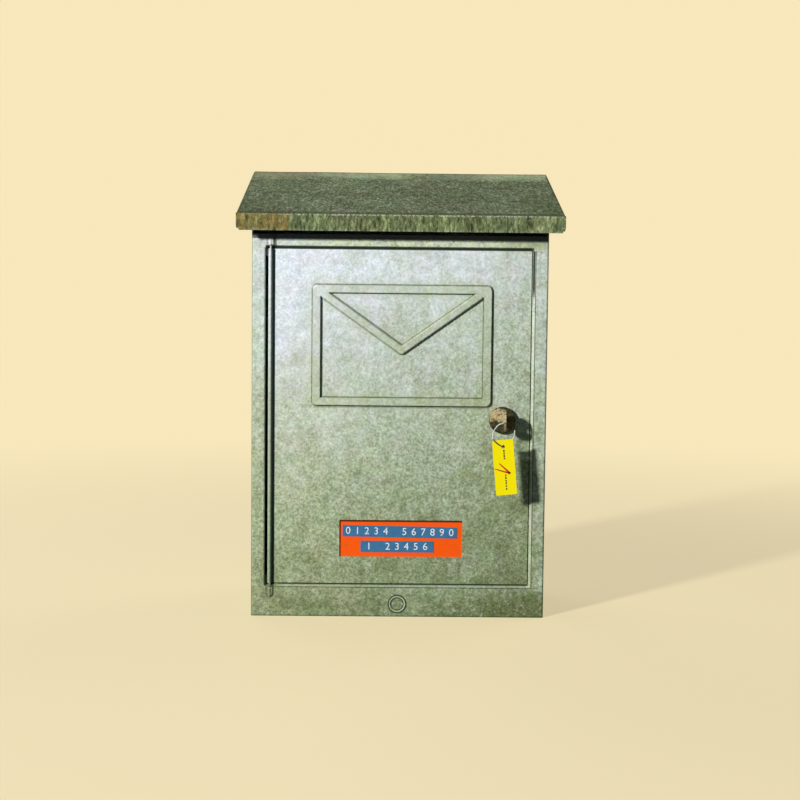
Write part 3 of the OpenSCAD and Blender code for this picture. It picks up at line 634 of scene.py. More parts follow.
def hood_finish():
    """The hood: dark with moss and finely speckled, paler by the wall, streaked and rusty on its lip."""
    s = look()
    f = Finish("hood_zinc")
    x, y, z = f.axes()
    low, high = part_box("roof_hood")
    fold_z = low.z + LIP_HEIGHT
    cloud = f.noise(20, 4, 0.65, 0.5)
    strokes = f.noise(1.0, 4, 0.8, 0.3, f.moved((520, 240, 240)))
    flake = f.noise(1.0, 3, 0.65, 0.6, f.moved((250, 150, 150)))
    depth = strokes * 0.55 + flake * 0.27 + cloud * 0.18
    # Darker at both ends of the fold
    ends = f.most(f.span(x, -60 * MM, -125 * MM), f.span(x, 70 * MM, 128 * MM))
    ends = ends * f.span(y, high.y - 30 * MM, low.y + 20 * MM)
    depth = depth - ends * 0.035
    top = f.ramp(depth, (0.39, (0.024, 0.031, 0.011)), (0.45, (0.068, 0.086, 0.039)),
                 (0.50, s.moss), (0.55, (0.200, 0.235, 0.140)), (0.61, (0.40, 0.44, 0.31)))
    # Washed band below the wall, wider left of the middle, and brown stains at its left end
    edge = f.noise(24, 4, 0.65, 0.8, f.moved((1, 2.4, 1)))
    near_wall = f.span(y + edge * (34 * MM), high.y - 12 * MM, high.y + 8 * MM)
    hump = f.span(x, -88 * MM, -50 * MM) * f.span(x, 12 * MM, -14 * MM)
    right_end = f.span(x, 45 * MM, 95 * MM)
    width = f.math("ADD", hump + right_end * 0.8, 0.35, clamp=True)
    pale = near_wall * width * f.span(depth, 0.36, 0.58, 0.45, 1.0)
    top = f.mix(pale * 0.85, top, (0.44, 0.50, 0.28))
    stain = near_wall * f.span(x, -70 * MM, -100 * MM) * f.span(flake, 0.4, 0.6, 0.3, 0.9)
    top = f.mix(stain, top, (0.30, 0.26, 0.14))
    # Dark borders: the side folds, the wall's edge and the dirt that lies above the front fold
    side_gap = high.x - abs(x)
    border = f.span(side_gap + flake * (6 * MM), 6.4 * MM, 3.4 * MM)
    border = f.most(border, f.span(y, high.y - 2.6 * MM, high.y - 0.8 * MM))
    silt = f.band(z, fold_z + 0.4 * MM, fold_z + 1.9 * MM, 0.5 * MM) * f.span(flake, 0.30, 0.52)
    top = f.mix(f.most(border, silt * 0.85) * 0.8, top, (0.035, 0.045, 0.016))
    # The lip: fine drips, rust at its left end, a pale foot
    runs = f.noise(1.0, 4, 0.72, 0.5, f.moved((430, 60, 170)))
    wide_runs = f.noise(1.0, 3, 0.6, 0.4, f.moved((110, 60, 30)))
    lip_depth = runs * 0.70 + wide_runs * 0.30
    lip = f.ramp(lip_depth, (0.37, (0.028, 0.036, 0.013)), (0.43, (0.078, 0.098, 0.037)),
                 (0.49, (0.132, 0.165, 0.073)), (0.55, s.lichen), (0.63, (0.42, 0.46, 0.24)))
    rust_left = f.span(x, low.x + 43.5 * MM, low.x + 41.5 * MM)
    rusty = f.ramp(runs * 0.45 + f.noise(200, 4, 0.7, 0.8) * 0.65,
                   (0.44, (0.055, 0.050, 0.016)), (0.52, (0.150, 0.125, 0.045)),
                   (0.59, s.rust), (0.68, (0.36, 0.26, 0.08)))
    lip = f.mix(rust_left * f.span(lip_depth, 0.38, 0.60, 0.95, 0.70), lip, rusty)
    foot = f.span(z, low.z + 2.2 * MM, low.z + 0.4 * MM) * f.span(runs, 0.44, 0.56)
    lip = f.mix(foot * 0.45, lip, (0.34, 0.38, 0.30))
    on_lip = f.span(z, fold_z + 0.1 * MM, fold_z - 0.5 * MM)
    colour = f.mix(on_lip, top, lip)
    # The fold, paler in dots
    pale_dots = f.band(z, fold_z - 1.1 * MM, fold_z - 0.5 * MM, 0.4 * MM) * f.span(f.noise(520, 3, 0.7), 0.47, 0.56)
    pale_dots = pale_dots * f.span(x, low.x + 34 * MM, low.x + 46 * MM, 0.35, 1.0)
    colour = f.mix(pale_dots * 0.8, colour, (0.50, 0.55, 0.42))
    colour = f.tint(f.tint(colour, 420, 0.30), 34, 0.26)
    f.bump(strokes * 0.6 + flake, 0.45 * MM, 0.7)
    return f.done(colour, f.span(depth, 0.3, 0.7, 0.72, 0.90), specular=0.12)


def inner_finish():
    """Zinc out of the rain: even grey with its crystals plain to see."""
    f = Finish("inner_zinc")
    crystals = spangle(f)
    cloud = f.noise(14, 4, 0.6, 0.4)
    base = f.ramp(cloud, (0.3, (0.25, 0.26, 0.22)), (0.7, (0.40, 0.42, 0.37)))
    colour = f.shade(base, f.span(crystals, 0.1, 0.9, 0.82, 1.12))
    bloom = f.span(f.noise(120, 5, 0.7), 0.60, 0.72)
    colour = f.mix(bloom * 0.35, colour, (0.62, 0.63, 0.60))
    f.bump(f.noise(500, 3), 0.1 * MM, 0.5)
    return f.done(colour, f.span(crystals, 0.0, 1.0, 0.36, 0.52), 0.35)


def steel_finish(name, tint, rusty):
    """Turned or pressed steel with rust creeping in."""
    f = Finish(name)
    rust = f.span(f.noise(320, 5, 0.7, 0.6), 0.62 - 0.25 * rusty, 0.78 - 0.2 * rusty)
    base = f.shade(tint, f.span(f.noise(900, 2), 0.2, 0.8, 0.85, 1.1))
    colour = f.mix(rust * 0.8, base, f.ramp(
        f.noise(800, 3), (0.3, (0.10, 0.04, 0.015)), (0.7, (0.28, 0.12, 0.04))))
    metal = f.span(rust, 0.0, 1.0, 0.85, 0.1)
    f.bump(rust + f.noise(1500, 2) * 0.3, 0.08 * MM, 0.6)
    return f.done(colour, f.span(rust, 0.0, 1.0, 0.34, 0.85), metal)


def brass_finish(name, tint):
    """Brass, bright high up and left of the keyway and under a black-green film elsewhere: tarnished, with painted
    light laid on, the bright patch lying toward the light and the dark right half standing in for the shadow of
    the key's bow.
    """
    f = Finish(name)
    x, y, z = f.axes()
    patch = f.noise(300, 4, 0.68, 0.5)
    ragged = (patch - 0.5) * (9 * MM)
    # Painted light: bright only up and to the left, toward the light; the right half stays dark as the bow's
    # painted shadow
    left = f.span(x + ragged, LOCK.x + 1.9 * MM, LOCK.x + 1.2 * MM)
    upper = f.span(z + ragged, LOCK.z - 1.6 * MM, LOCK.z + 0.6 * MM)
    below_rim = f.span(z + ragged, LOCK.z + 9.6 * MM, LOCK.z + 8.0 * MM)
    inside_rim = f.span(x + ragged, LOCK.x - 10.5 * MM, LOCK.x - 8.0 * MM, 0.35, 1.0)
    bright_patch = left * upper * (below_rim * inside_rim)
    # Painted highlight: a bright line down the bow's edge, below the string
    edge = f.band(x, LOCK.x - 0.8 * MM, LOCK.x + 0.8 * MM, 0.2 * MM)
    edge = edge * f.band(z, BOW_HOLE.z - 10.0 * MM, BOW_HOLE.z - 1.8 * MM, 0.6 * MM)
    bright_patch = f.most(bright_patch, edge * f.span(y, BOW_HOLE.y + 1 * MM, BOW_HOLE.y))
    thickness = f.span(f.noise(650, 4, 0.75, 0.6), 0.35, 0.65, 0.35, 2.0)
    film = f.tint(f.shade(trim().tarnish_and_shade, thickness), 300, 0.5)
    colour = f.mix(bright_patch, film, f.tint(tint, 500, 0.5))
    brown = f.span(f.noise(430, 3, 0.7, 0.8), 0.49, 0.56)
    colour = f.mix(brown * bright_patch * 0.75, colour, (0.16, 0.07, 0.025))
    f.bump(patch + f.noise(1400, 3, 0.6) * 0.4, 0.12 * MM, 0.6)
    return f.done(colour, f.span(bright_patch, 0.0, 1.0, 0.66, 0.50), 0.25, specular=0.25)


def card_finish():
    f = Finish("card_orange")
    low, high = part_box("label_card")
    fibre = f.noise(1500, 3, 0.7)
    soil = f.span(f.noise(90, 5, 0.65, 0.5), 0.50, 0.74)
    colour = f.shade(trim().card, f.span(fibre, 0.2, 0.8, 0.92, 1.05))
    colour = f.mix(soil * 0.25, colour, (0.42, 0.09, 0.01))
    # Painted shadow of the window's upper and left edges on the card
    x, y, z = f.axes()
    top = f.span(z, high.z - WINDOW_LAP - 2.0 * MM, high.z - WINDOW_LAP - 1.4 * MM)
    side = f.span(x, low.x + WINDOW_LAP + 1.4 * MM, low.x + WINDOW_LAP + 0.8 * MM)
    colour = f.mix(f.most(top, side) * 0.92, colour, (0.040, 0.014, 0.005))
    f.bump(fibre, 0.03 * MM, 0.5)
    return f.done(colour, 0.7, specular=0.12)


def tape_finish():
    f = Finish("tape_blue")
    cloud = f.noise(260, 4, 0.6)
    scratch = f.span(f.noise(1.0, 3, 0.7, 0.0, f.moved((150, 150, 2600))), 0.62, 0.72)
    colour = f.shade(trim().tape, f.span(cloud, 0.2, 0.8, 0.88, 1.15))
    colour = f.mix(scratch * 0.18, colour, (0.35, 0.45, 0.55))
    f.bump(cloud + scratch, 0.02 * MM, 0.4)
    return f.done(colour, f.span(cloud, 0.3, 0.7, 0.30, 0.45), specular=0.2)


def ink_finish(name, colour, rough=0.5):
    f = Finish(name)
    grain = f.noise(2500, 3, 0.7)
    f.bump(grain, 0.01 * MM, 0.4)
    return f.done(f.shade(colour, f.span(grain, 0.2, 0.8, 0.82, 1.08)), rough)


def tag_finish():
    f = Finish("tag_yellow")
    fibre = f.noise(1700, 3, 0.7)
    soil = f.span(f.noise(130, 5, 0.65, 0.4), 0.56, 0.76)
    colour = f.shade(trim().tag, f.span(fibre, 0.2, 0.8, 0.94, 1.03))
    colour = f.mix(soil * 0.16, colour, (0.62, 0.36, 0.01))
    f.bump(fibre * 0.4 + f.noise(150, 3), 0.05 * MM, 0.5)
    return f.done(colour, f.span(soil, 0.0, 1.0, 0.55, 0.72), specular=0.12)


def string_finish():
    f = Finish("string_white")
    fluff = f.noise(2600, 4, 0.8)
    soil = f.span(f.noise(260, 3, 0.6), 0.45, 0.70)
    colour = f.shade((0.74, 0.74, 0.66), f.span(fluff, 0.2, 0.8, 0.78, 1.08))
    colour = f.mix(soil * 0.5, colour, (0.30, 0.29, 0.20))
    # Dark where it lies on the tag, and high on its right as painted shadow of the key's bow
    x, y, z = f.axes()
    on_tag = f.span(z, BOW_HOLE.z - 13.0 * MM, BOW_HOLE.z - 14.6 * MM)
    on_tag = on_tag * f.span(x, BOW_HOLE.x + 2 * MM, BOW_HOLE.x)
    bow_shadow_part = f.span(z, BOW_HOLE.z - 7.4 * MM, BOW_HOLE.z - 6.0 * MM)
    bow_shadow_part = bow_shadow_part * f.span(x, BOW_HOLE.x - 2 * MM, BOW_HOLE.x)
    colour = f.mix(f.most(on_tag, bow_shadow_part) * 0.93, colour, (0.045, 0.042, 0.015))
    f.bump(fluff, 0.08 * MM, 0.8)
    return f.done(colour, 0.9, specular=0.2)


# ---------- the pieces ----------

def rounded_path(points, steps):
    """A smooth curve through points, steps to each stretch."""
    ends = [2 * points[0] - points[1], *points, 2 * points[-1] - points[-2]]
    path = []
    for a, b, c, d in zip(ends, ends[1:], ends[2:], ends[3:]):
        for k in range(steps):
            t = k / steps
            path.append(0.5 * (2 * b + (c - a) * t + (2 * a - 5 * b + 4 * c - d) * t * t
                               + (3 * b - a - 3 * c + d) * t ** 3))
    return [*path, points[-1]]


def twisted_tube(name, path, width, plies=3, pitch=2.6 * MM, sides=18):
    """A cord of plies twisted together, as one closed tube along path."""
    bm = bmesh.new()
    rings, run = [], 0.0
    side = Vector((0, 1, 0))
    for i, point in enumerate(path):
        ahead = (path[min(i + 1, len(path) - 1)] - path[max(i - 1, 0)]).normalized()
        if i:
            run += (point - path[i - 1]).length
        side = (side - ahead * side.dot(ahead)).normalized()
        up = ahead.cross(side)
        ring = []
        for k in range(sides):
            a = 2 * math.pi * k / sides
            lobe = 0.86 + 0.14 * math.cos(plies * (a - 2 * math.pi * run / (pitch * plies)))
            ring.append(bm.verts.new(point + (side * math.cos(a) + up * math.sin(a)) * width / 2 * lobe))
        rings.append(ring)
    for a, b in zip(rings, rings[1:]):
        for k in range(sides):
            bm.faces.new([a[k], a[(k + 1) % sides], b[(k + 1) % sides], b[k]])
    bm.faces.new(rings[0][::-1])
    bm.faces.new(rings[-1])
    tube = only(mesh_object(name, bm))
    bpy.ops.object.shade_smooth()
    return tube


def written(name, text, size, depth, material, place, turn, body, slot):
    """Plain digits as a thin mesh: centred, facing -Y, turned by turn about Y and put at place."""
    fresh()
    bpy.ops.object.text_add()
    obj = bpy.context.object
    obj.data.body = text
    obj.data.size = size
    obj.data.extrude = depth / 2
    obj.data.align_x = "CENTER"
    obj.data.align_y = "CENTER"
    obj.data.resolution_u = 4
    bpy.ops.object.convert(target="MESH")
    obj = bpy.context.object
    obj.name = name
    obj.matrix_world = (
        Matrix.Translation(place) @ Matrix.Rotation(turn, 4, "Y") @ Matrix.Rotation(math.pi / 2, 4, "X")
    )
    return dress(settle(obj), material, body=body, slot=slot)


class MAILBOX_OT_camera(bpy.types.Operator):
    """Put the camera where the box is looked at nearly straight from the front"""
    bl_idname = "mailbox.camera"
    bl_label = "Camera"
    bl_options = {"REGISTER", "UNDO"}

    def execute(self, context):
        s = context.scene.mailbox_stage
        fresh()
        bpy.ops.object.camera_add()
        camera = context.object
        camera.name = "front_camera"
        camera.data.lens = s.lens
        camera.data.sensor_width = 36
        camera.data.clip_start = 0.05
        camera.data.clip_end = 60
        ahead = Vector((math.sin(s.look_right) * math.cos(s.look_up),
                        math.cos(s.look_right) * math.cos(s.look_up),
                        math.sin(s.look_up)))
        right = Vector((math.cos(s.look_right), -math.sin(s.look_right), 0))
        up = right.cross(ahead)
        leant_right = right * math.cos(s.lean) + up * math.sin(s.lean)
        leant_up = up * math.cos(s.lean) - right * math.sin(s.lean)
        turn = Matrix((leant_right, leant_up, -ahead)).transposed()
        camera.matrix_world = Matrix.Translation(Vector(s.eye)) @ turn.to_4x4()
        context.scene.camera = camera
        return {"FINISHED"}


class MAILBOX_OT_tag(bpy.types.Operator):
    """Tie the tag to the key's bow: the string, its knot, the tag and its print"""
    bl_idname = "mailbox.tag"
    bl_label = "Tag and string"
    bl_options = {"REGISTER", "UNDO"}

    def execute(self, context):
        string_white = string_finish()
        path = rounded_path([BOW_HOLE + Vector(p) * MM for p in STRING_ROUTE], 8)
        string = twisted_tube("tag_string_twist", path, STRING_WIDTH)
        dress(string, string_white, "tag_string")
        knot = self.knot(string_white)
        tag = self.tag()
        length = sum((b - a).length for a, b in zip(path, path[1:]))
        return {"FINISHED"}

    def knot(self, material):
        """A small overhand knot where the two ends meet behind the tag."""
        centre = BOW_HOLE + Vector((0.5, 0.5, -19.7)) * MM
        turns = []
        for k in range(49):
            a = 2 * math.pi * k / 48
            turns.append(centre + Vector((math.sin(a) + 2 * math.sin(2 * a),
                                          0.55 * math.sin(3 * a),
                                          math.cos(a) - 2 * math.cos(2 * a))) * 0.42 * MM)
        knot = twisted_tube("tag_knot", turns, 0.8 * MM, sides=12)
        return dress(knot, material, body="tag", slot="string_white")

    def tag(self):
        """The card, cut with rounded corners and a hole, and curled a little."""
        tilt = math.radians(-5.2)
        wide, long, thick = 17 * MM, 44.6 * MM, 0.4 * MM
        hole_in, hole_r, corner_r = 5.5 * MM, 1.5 * MM, 0.8 * MM
        hole = BOW_HOLE + Vector((-1.2, -1.4, -19.8)) * MM
        across_hole = (-hole_r, hole_r, 0.375 * MM)
        us = spread((-wide / 2, -hole_r, 1.0 * MM), across_hole, (hole_r, wide / 2, 1.0 * MM))
        vs = spread((hole_in - long, -hole_r, 1.2 * MM), across_hole, (hole_r, hole_in, 0.8 * MM))
        turn = Matrix.Rotation(tilt, 3, "Y")
        half_skin = Vector((0, thick / 2 - 0.05 * MM, 0))

        def place(u, v):
            # Points near the hole are drawn on to its circle
            r = math.hypot(u, v)
            if 0.55 * hole_r < r < 1.18 * hole_r:
                u, v = u * hole_r / r, v * hole_r / r
            # Rounded corners
            over_u = abs(u) - (wide / 2 - corner_r)
            over_v = max(v - (hole_in - corner_r), (hole_in - long + corner_r) - v)
            if over_u > 0 and over_v > 0:
                pull = math.hypot(over_u, over_v)
                if pull > corner_r:
                    u -= math.copysign(over_u * (1 - corner_r / pull), u)
                    v -= math.copysign(over_v * (1 - corner_r / pull), v - (hole_in - long / 2))
            curl = -0.22 * MM * (v / long) ** 2 + 0.06 * MM * math.cos(u / wide * math.pi)
            point = hole + turn @ Vector((u, curl, v))
            return point - half_skin, point + half_skin

        tag = folded_sheet("key_tag_card", us, vs, place,
                           lambda u, v: math.hypot(u, v) > 0.72 * hole_r)
        smooth(tag, 40)
        dress(tag, tag_finish(), "key_tag")
        self.print_on(hole, tilt, thick)
        return tag

    def print_on(self, hole, tilt, thick):
        """A dashed rule down the middle, and one plain red number across it."""
        bm = bmesh.new()
        turn = Matrix.Rotation(tilt, 4, "Y")
        front = -thick / 2 - 0.05 * MM
        dashes = [(-2.6, 1.8), (-4.9, 1.4), (-6.8, 1.6), (-9.0, 1.2), (-22.6, 1.4), (-24.6, 1.6),
                  (-27.0, 1.2), (-28.8, 1.7), (-31.2, 1.4), (-33.4, 1.7)]
        for top, long in dashes:
            centre = Vector((0.3 * MM, front, (top - long / 2) * MM))
            size = Matrix.Diagonal((1.0 * MM, 0.12 * MM, long * MM, 1))
            spot = Matrix.Translation(hole) @ turn @ Matrix.Translation(centre)
            bmesh.ops.create_cube(bm, size=1, matrix=spot @ size)
        dress(mesh_object("tag_rule", bm), ink_finish("tag_ink", (0.03, 0.03, 0.02)),
              body="tag", slot="tag_yellow")
        bm = bmesh.new()
        foot = Vector((6.1, -21.5)) * MM
        for tip in (Vector((-2.9, -13.7)) * MM, Vector((-6.1, -18.2)) * MM):
            self.pen_stroke(bm, hole, tip, foot, 0.8 * MM, 1.5 * MM, front)
        dress(mesh_object("tag_number_1", bm), ink_finish("tag_mark_ink", trim().mark),
              body="tag", slot="tag_yellow")

    def pen_stroke(self, bm, hole, start, stop, start_wide, stop_wide, front):
        """A flat tapered stroke on the tag's front, its ends given along X and Z from the hole."""
        side = (stop - start).normalized().orthogonal() / 2
        outline = [start - side * start_wide, start + side * start_wide,
                   stop + side * stop_wide, stop - side * stop_wide]
        rings = [[bm.verts.new(hole + Vector((p.x, y, p.y))) for p in outline]
                 for y in (front - 0.06 * MM, front + 0.06 * MM)]
        bm.faces.new(rings[0])
        bm.faces.new(rings[1][::-1])
        for k in range(4):
            bm.faces.new([rings[0][k - 1], rings[0][k], rings[1][k], rings[1][k - 1]])


class MAILBOX_OT_casing(bpy.types.Operator):
    """Finish the casing, its back, its bottom pan, the rivets and the hinge pin"""
    bl_idname = "mailbox.casing"
    bl_label = "Casing"
    bl_options = {"REGISTER", "UNDO"}

    def execute(self, context):
        casing_zinc = zinc_finish("casing_zinc", 0.29, 1.6, -0.3, casing_masks)
        worn_copy("casing_shell", "casing_skin", look().edge_break, casing_zinc, miter="MITER_SHARP")
        inner = inner_finish()
        worn_copy("back_panel", "back_sheet", 0.2 * MM, inner)
        worn_copy("bottom_pan", "bottom_tray", 0.2 * MM, inner)
        worn_copy("back_rivets", "rivets", 0.15 * MM, steel_finish("fixing_steel", (0.55, 0.55, 0.52), 0.3))
        worn_copy("hinge_pin", "hinge_rod", 0.3 * MM, steel_finish("pin_steel", (0.26, 0.27, 0.24), 0.35))
        return {"FINISHED"}


class MAILBOX_OT_hood(bpy.types.Operator):
    """Fold the hood: its slope, its front lip and its two side lips"""
    bl_idname = "mailbox.hood"
    bl_label = "Hood"
    bl_options = {"REGISTER", "UNDO"}

    def execute(self, context):
        low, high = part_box("roof_hood")
        rise = (high.z - low.z - LIP_HEIGHT) / (high.y - low.y)
        slope = math.atan(rise)
        fold = look().hood_fold
        fold_z = low.z + LIP_HEIGHT
        # The front fold turns from the slope to straight down
        turn = math.pi / 2 - slope
        run = fold * math.tan(turn / 2)
        arc = fold * turn
        depth = (high.y - low.y) / math.cos(slope)
        half = high.x
        side_arc = fold * math.pi / 2
        flat_u = half - fold
        drop = LIP_HEIGHT - fold

        slope_run = depth - run

        def on_slope(v):
            return Vector((0, high.y - v * math.cos(slope), high.z - v * math.sin(slope)))

        def inward_at(a):
            return Vector((0, math.sin(a), -math.cos(a)))

        def profile(v):
            """The hood's point at v, from its back edge down to the lip's foot, and the way inwards."""
            if v <= slope_run:
                return on_slope(v), inward_at(slope)
            if v <= slope_run + arc:
                centre = on_slope(slope_run) + fold * inward_at(slope)
                inward = inward_at(slope + (v - slope_run) / fold)
                return centre - fold * inward, inward
            down = v - slope_run - arc
            return Vector((0, low.y, fold_z - run - down)), Vector((0, 1, 0))

        lip_start = slope_run + arc
        foot = lip_start + LIP_HEIGHT - run

        def place(u, v):
            over = abs(u) - flat_u
            point, inward = profile(v)
            sign = math.copysign(1, u)
            wave = look().buckle * buckle(Vector((u, point.y, 0.4)), 70 * MM, 3.0)
            middle = min(1.0, max(0.0, (half - abs(u)) / (25 * MM)))
            if over <= 0 or v > lip_start - arc:
                x = u if over <= 0 else sign * min(half, abs(u))
                shift = inward * wave * middle
                if v > lip_start:
                    # The lip's lower corners are cut off
                    cut = max(0.0, abs(x) - (half - LIP_CUT.x)) / LIP_CUT.x
                    share = (v - lip_start) / (foot - lip_start)
                    point = point + Vector((0, 0, share * cut * LIP_CUT.z))
                    shift = shift * (1 - 0.5 * share)
                front = Vector((x, point.y, point.z)) + shift
                return front, front + inward * SHEET
            if over <= side_arc:
                a = over / fold
                out = Vector((sign * (flat_u + fold * math.sin(a)), 0, 0))
                down = Vector((0, 0, -fold * (1 - math.cos(a))))
                inside = Vector((-sign * math.sin(a), 0, -math.cos(a)))
            else:
                out = Vector((sign * half, 0, 0))
                down = Vector((0, 0, -fold - (over - side_arc)))
                inside = Vector((-sign, 0, 0))
                share = (over - side_arc) / drop
                cut = max(0.0, 1 - (point.y - low.y) / LIP_CUT.z)
                down += Vector((0, 0, share * cut * LIP_CUT.z))
            front = Vector((0, point.y, point.z)) + out + down
            return front, front + inside * SHEET

        def held(u, v):
            """The sheet's two sides, with its back edge kept flat on the wall."""
            sides = place(u, v)
            for point in sides:
                point.y = min(point.y, high.y)
            return sides

        reach = flat_u + side_arc + drop
        half_us = spread((0, half - LIP_CUT.x, 4 * MM), (half - LIP_CUT.x, flat_u, 0.5 * MM),
                         (flat_u, flat_u + side_arc, fold * 0.35),
                         (flat_u + side_arc, reach, 3 * MM))
        us = [-u for u in half_us[:0:-1]] + half_us
        vs = spread((0, lip_start - arc, 4 * MM), (lip_start - arc, lip_start, arc / 6),
                    (lip_start, foot, 2 * MM))

        def on_top(u, v):
            if v < lip_start - arc:
                return True
            return abs(u) < half

        hood = folded_sheet("hood_skin", us, vs, held, on_top)
        smooth(hood, 40)
        dress(hood, hood_finish(), "roof_hood")
        return {"FINISHED"}


class MAILBOX_OT_door(bpy.types.Operator):
    """Press the door: one sheet rolled round the pin, its raised envelope, its window and card pocket"""
    bl_idname = "mailbox.door"
    bl_label = "Door"
    bl_options = {"REGISTER", "UNDO"}

    def execute(self, context):
        low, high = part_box("door_panel")
        card_low, card_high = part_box("label_card")
        s = look()
        roll_out = HINGE.x - low.x
        roll_in = roll_out - SHEET
        face_y = HINGE.y + roll_in
        roll_turn = math.radians(314)
        roll_run = roll_turn * (roll_out + roll_in) / 2
        window = (card_low.x + WINDOW_LAP, card_high.x - WINDOW_LAP,
                  card_low.z + WINDOW_LAP, card_high.z - WINDOW_LAP)
        middle = Vector(((HINGE.x + high.x) / 2 + 1 * MM, 0, 0.224))
        half_w, half_h = 70 * MM, 46 * MM
        strokes = self.envelope(middle, half_w, half_h)
        edges = (-s.stroke_foot, -s.stroke_top, s.stroke_top, s.stroke_foot)
        fine, coarse = 0.8 * MM, 3.4 * MM
        xs = [middle.x + side * half_w + e for side in (-1, 1) for e in edges]
        zs = [middle.z + side * half_h + e for side in (-1, 1) for e in edges]
        zone = (xs[0], xs[-1], zs[0], zs[-1])
        us = spread((HINGE.x - roll_run, HINGE.x, roll_run / 26),
                    (HINGE.x, HINGE.x + 5 * MM, 0.5 * MM), (HINGE.x + 5 * MM, window[0], coarse),
                    (window[0], window[1], coarse), (window[1], high.x, coarse))
        vs = spread((low.z, window[2], coarse), (window[2], window[3], coarse), (window[3], high.z, coarse))
        us = self.refined(us, sorted([*xs, *window[:2]]), fine)
        vs = self.refined(vs, zs, fine)

        def relief(x, z):
            gap = min(self.distance(x, z, a, b) for a, b in strokes)
            t = min(1.0, max(0.0, (s.stroke_foot - gap) / (s.stroke_foot - s.stroke_top)))
            return s.stroke_height * t

        def place(u, v):
            if u < HINGE.x:
                a = (HINGE.x - u) / roll_run * roll_turn
                spoke = Vector((-math.sin(a), math.cos(a), 0))
                centre = Vector((HINGE.x, HINGE.y, v))
                return centre + spoke * roll_in, centre + spoke * roll_out
            edge = min(u - HINGE.x, high.x - u, v - low.z, high.z - v,
                       max(window[0] - u, u - window[1], window[2] - v, v - window[3]))
            fade = min(1.0, max(0.0, edge / (12 * MM)))
            raised = relief(u, v) if zone[0] <= u <= zone[1] and zone[2] <= v <= zone[3] else 0.0
            wave = s.buckle * (buckle(Vector((u, 0.0, v)), 80 * MM, 1.0) - 0.5) * fade
            front = Vector((u, face_y - raised + wave, v))
            return front, front + Vector((0, SHEET, 0))

        def kept(u, v):
            in_window = window[0] < u < window[1] and window[2] < v < window[3]
            in_lock = math.hypot(u - LOCK.x, v - LOCK.z) < LOCK_HOLE
            return not in_window and not in_lock

        door = folded_sheet("door_skin", us, vs, place, kept)
        smooth(door, 50)
        self.soil(door, strokes, zone, s.stroke_foot)
        dress(door, zinc_finish("door_zinc", 0.17, 2.4, -1.4, door_masks), "door_panel")
        worn_copy("label_holder", "card_pocket", 0.12 * MM, bpy.data.materials["inner_zinc"])
        return {"FINISHED"}

    def refined(self, values, lines, pitch):
        """values, with the stretch between the outermost lines cut finely and exactly on each line."""
        kept = [v for v in values if not lines[0] - pitch < v < lines[-1] + pitch]
        for a, b in zip(lines, lines[1:]):
            count = max(1, round((b - a) / pitch))
            kept += [a + (b - a) * i / count for i in range(count)]
        inside = [v for v in (values[0], values[-1], lines[-1]) if v not in kept]
        return sorted(kept + inside)

    def soil(self, door, strokes, zone, foot):
        """Stores where dirt lies at the strokes' feet and round them, and the band beside the hinge where the
        roll's painted shadow goes.
        """
        grime, halo, groove = [], [], []
        for vert in door.data.vertices:
            x, z = vert.co.x, vert.co.z
            gap = 99 * MM
            if zone[0] - 5 * MM < x < zone[1] + 5 * MM and zone[2] - 5 * MM < z < zone[3] + 5 * MM:
                gap = min(self.distance(x, z, a, b) for a, b in strokes)
            grime.append(max(0.0, 1 - abs(gap - foot) / (0.8 * MM)))
            halo.append(max(0.0, 1 - max(0.0, gap - foot) / (5 * MM)))
            # The band beside the hinge that takes the roll's painted shadow
            beside = x - HINGE.x
            share = min(1.0, (beside - 0.2 * MM) / (0.4 * MM), (3.7 * MM - beside) / (0.5 * MM))
            groove.append(max(0.0, share))
        for name, values in (("grime", grime), ("halo", halo), ("groove", groove)):
            door.data.attributes.new(name, "FLOAT", "POINT").data.foreach_set("value", values)

    def envelope(self, middle, half_w, half_h):
        """The strokes of a plain envelope: its outline and its flap."""
        left, right = middle.x - half_w, middle.x + half_w
        low, high = middle.z - half_h, middle.z + half_h
        tip = (middle.x, middle.z - half_h * 0.08)
        corners = [(left, low), (right, low), (right, high), (left, high)]
        sides = list(zip(corners, corners[1:] + corners[:1]))
        return [*sides, (corners[3], tip), (corners[2], tip)]

    def distance(self, x, z, a, b):
        """How far (x, z) is from the line from a to b."""
        along = Vector(b) - Vector(a)
        t = max(0.0, min(1.0, (Vector((x, z)) - Vector(a)).dot(along) / along.length_squared))
        return (Vector((x, z)) - Vector(a) - along * t).length


class MAILBOX_OT_label(bpy.types.Operator):
    """Put the card and the two tapes with their digits in the window"""
    bl_idname = "mailbox.label"
    bl_label = "Name card"
    bl_options = {"REGISTER", "UNDO"}

    def execute(self, context):
        t = trim()
        worn_copy("label_card", "name_card", 0.08 * MM, card_finish())
        blue = tape_finish()
        white = ink_finish("tape_digits", (0.80, 0.84, 0.86), 0.4)
        for node, name, text, tilt in (
            ("label_tape_upper", "tape_upper", t.upper_digits, math.radians(0.8)),
            ("label_tape_lower", "tape_lower", t.lower_digits, 0.0),
        ):
            worn_copy(node, name, 0.1 * MM, blue)
            low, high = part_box(node)
            middle = (low + high) / 2
            self.emboss(name, text, middle, low.y, tilt, white)
        return {"FINISHED"}

    def emboss(self, name, text, middle, front, tilt, material):
        """Raised digits at an even pitch, as a tape embosser spaces them."""
        size, depth, pitch = 8.4 * MM, 0.26 * MM, 7.75 * MM
        first = -(len(text) - 1) / 2
        for i, digit in enumerate(text):
            if digit == " ":
                continue
            across = (first + i) * pitch
            place = Vector((middle.x + across * math.cos(tilt), front - 0.05 * MM,
                            middle.z - across * math.sin(tilt)))
            written(f"{name}_digit_{i}", digit, size, depth, material, place, tilt, "door", "tape_blue")


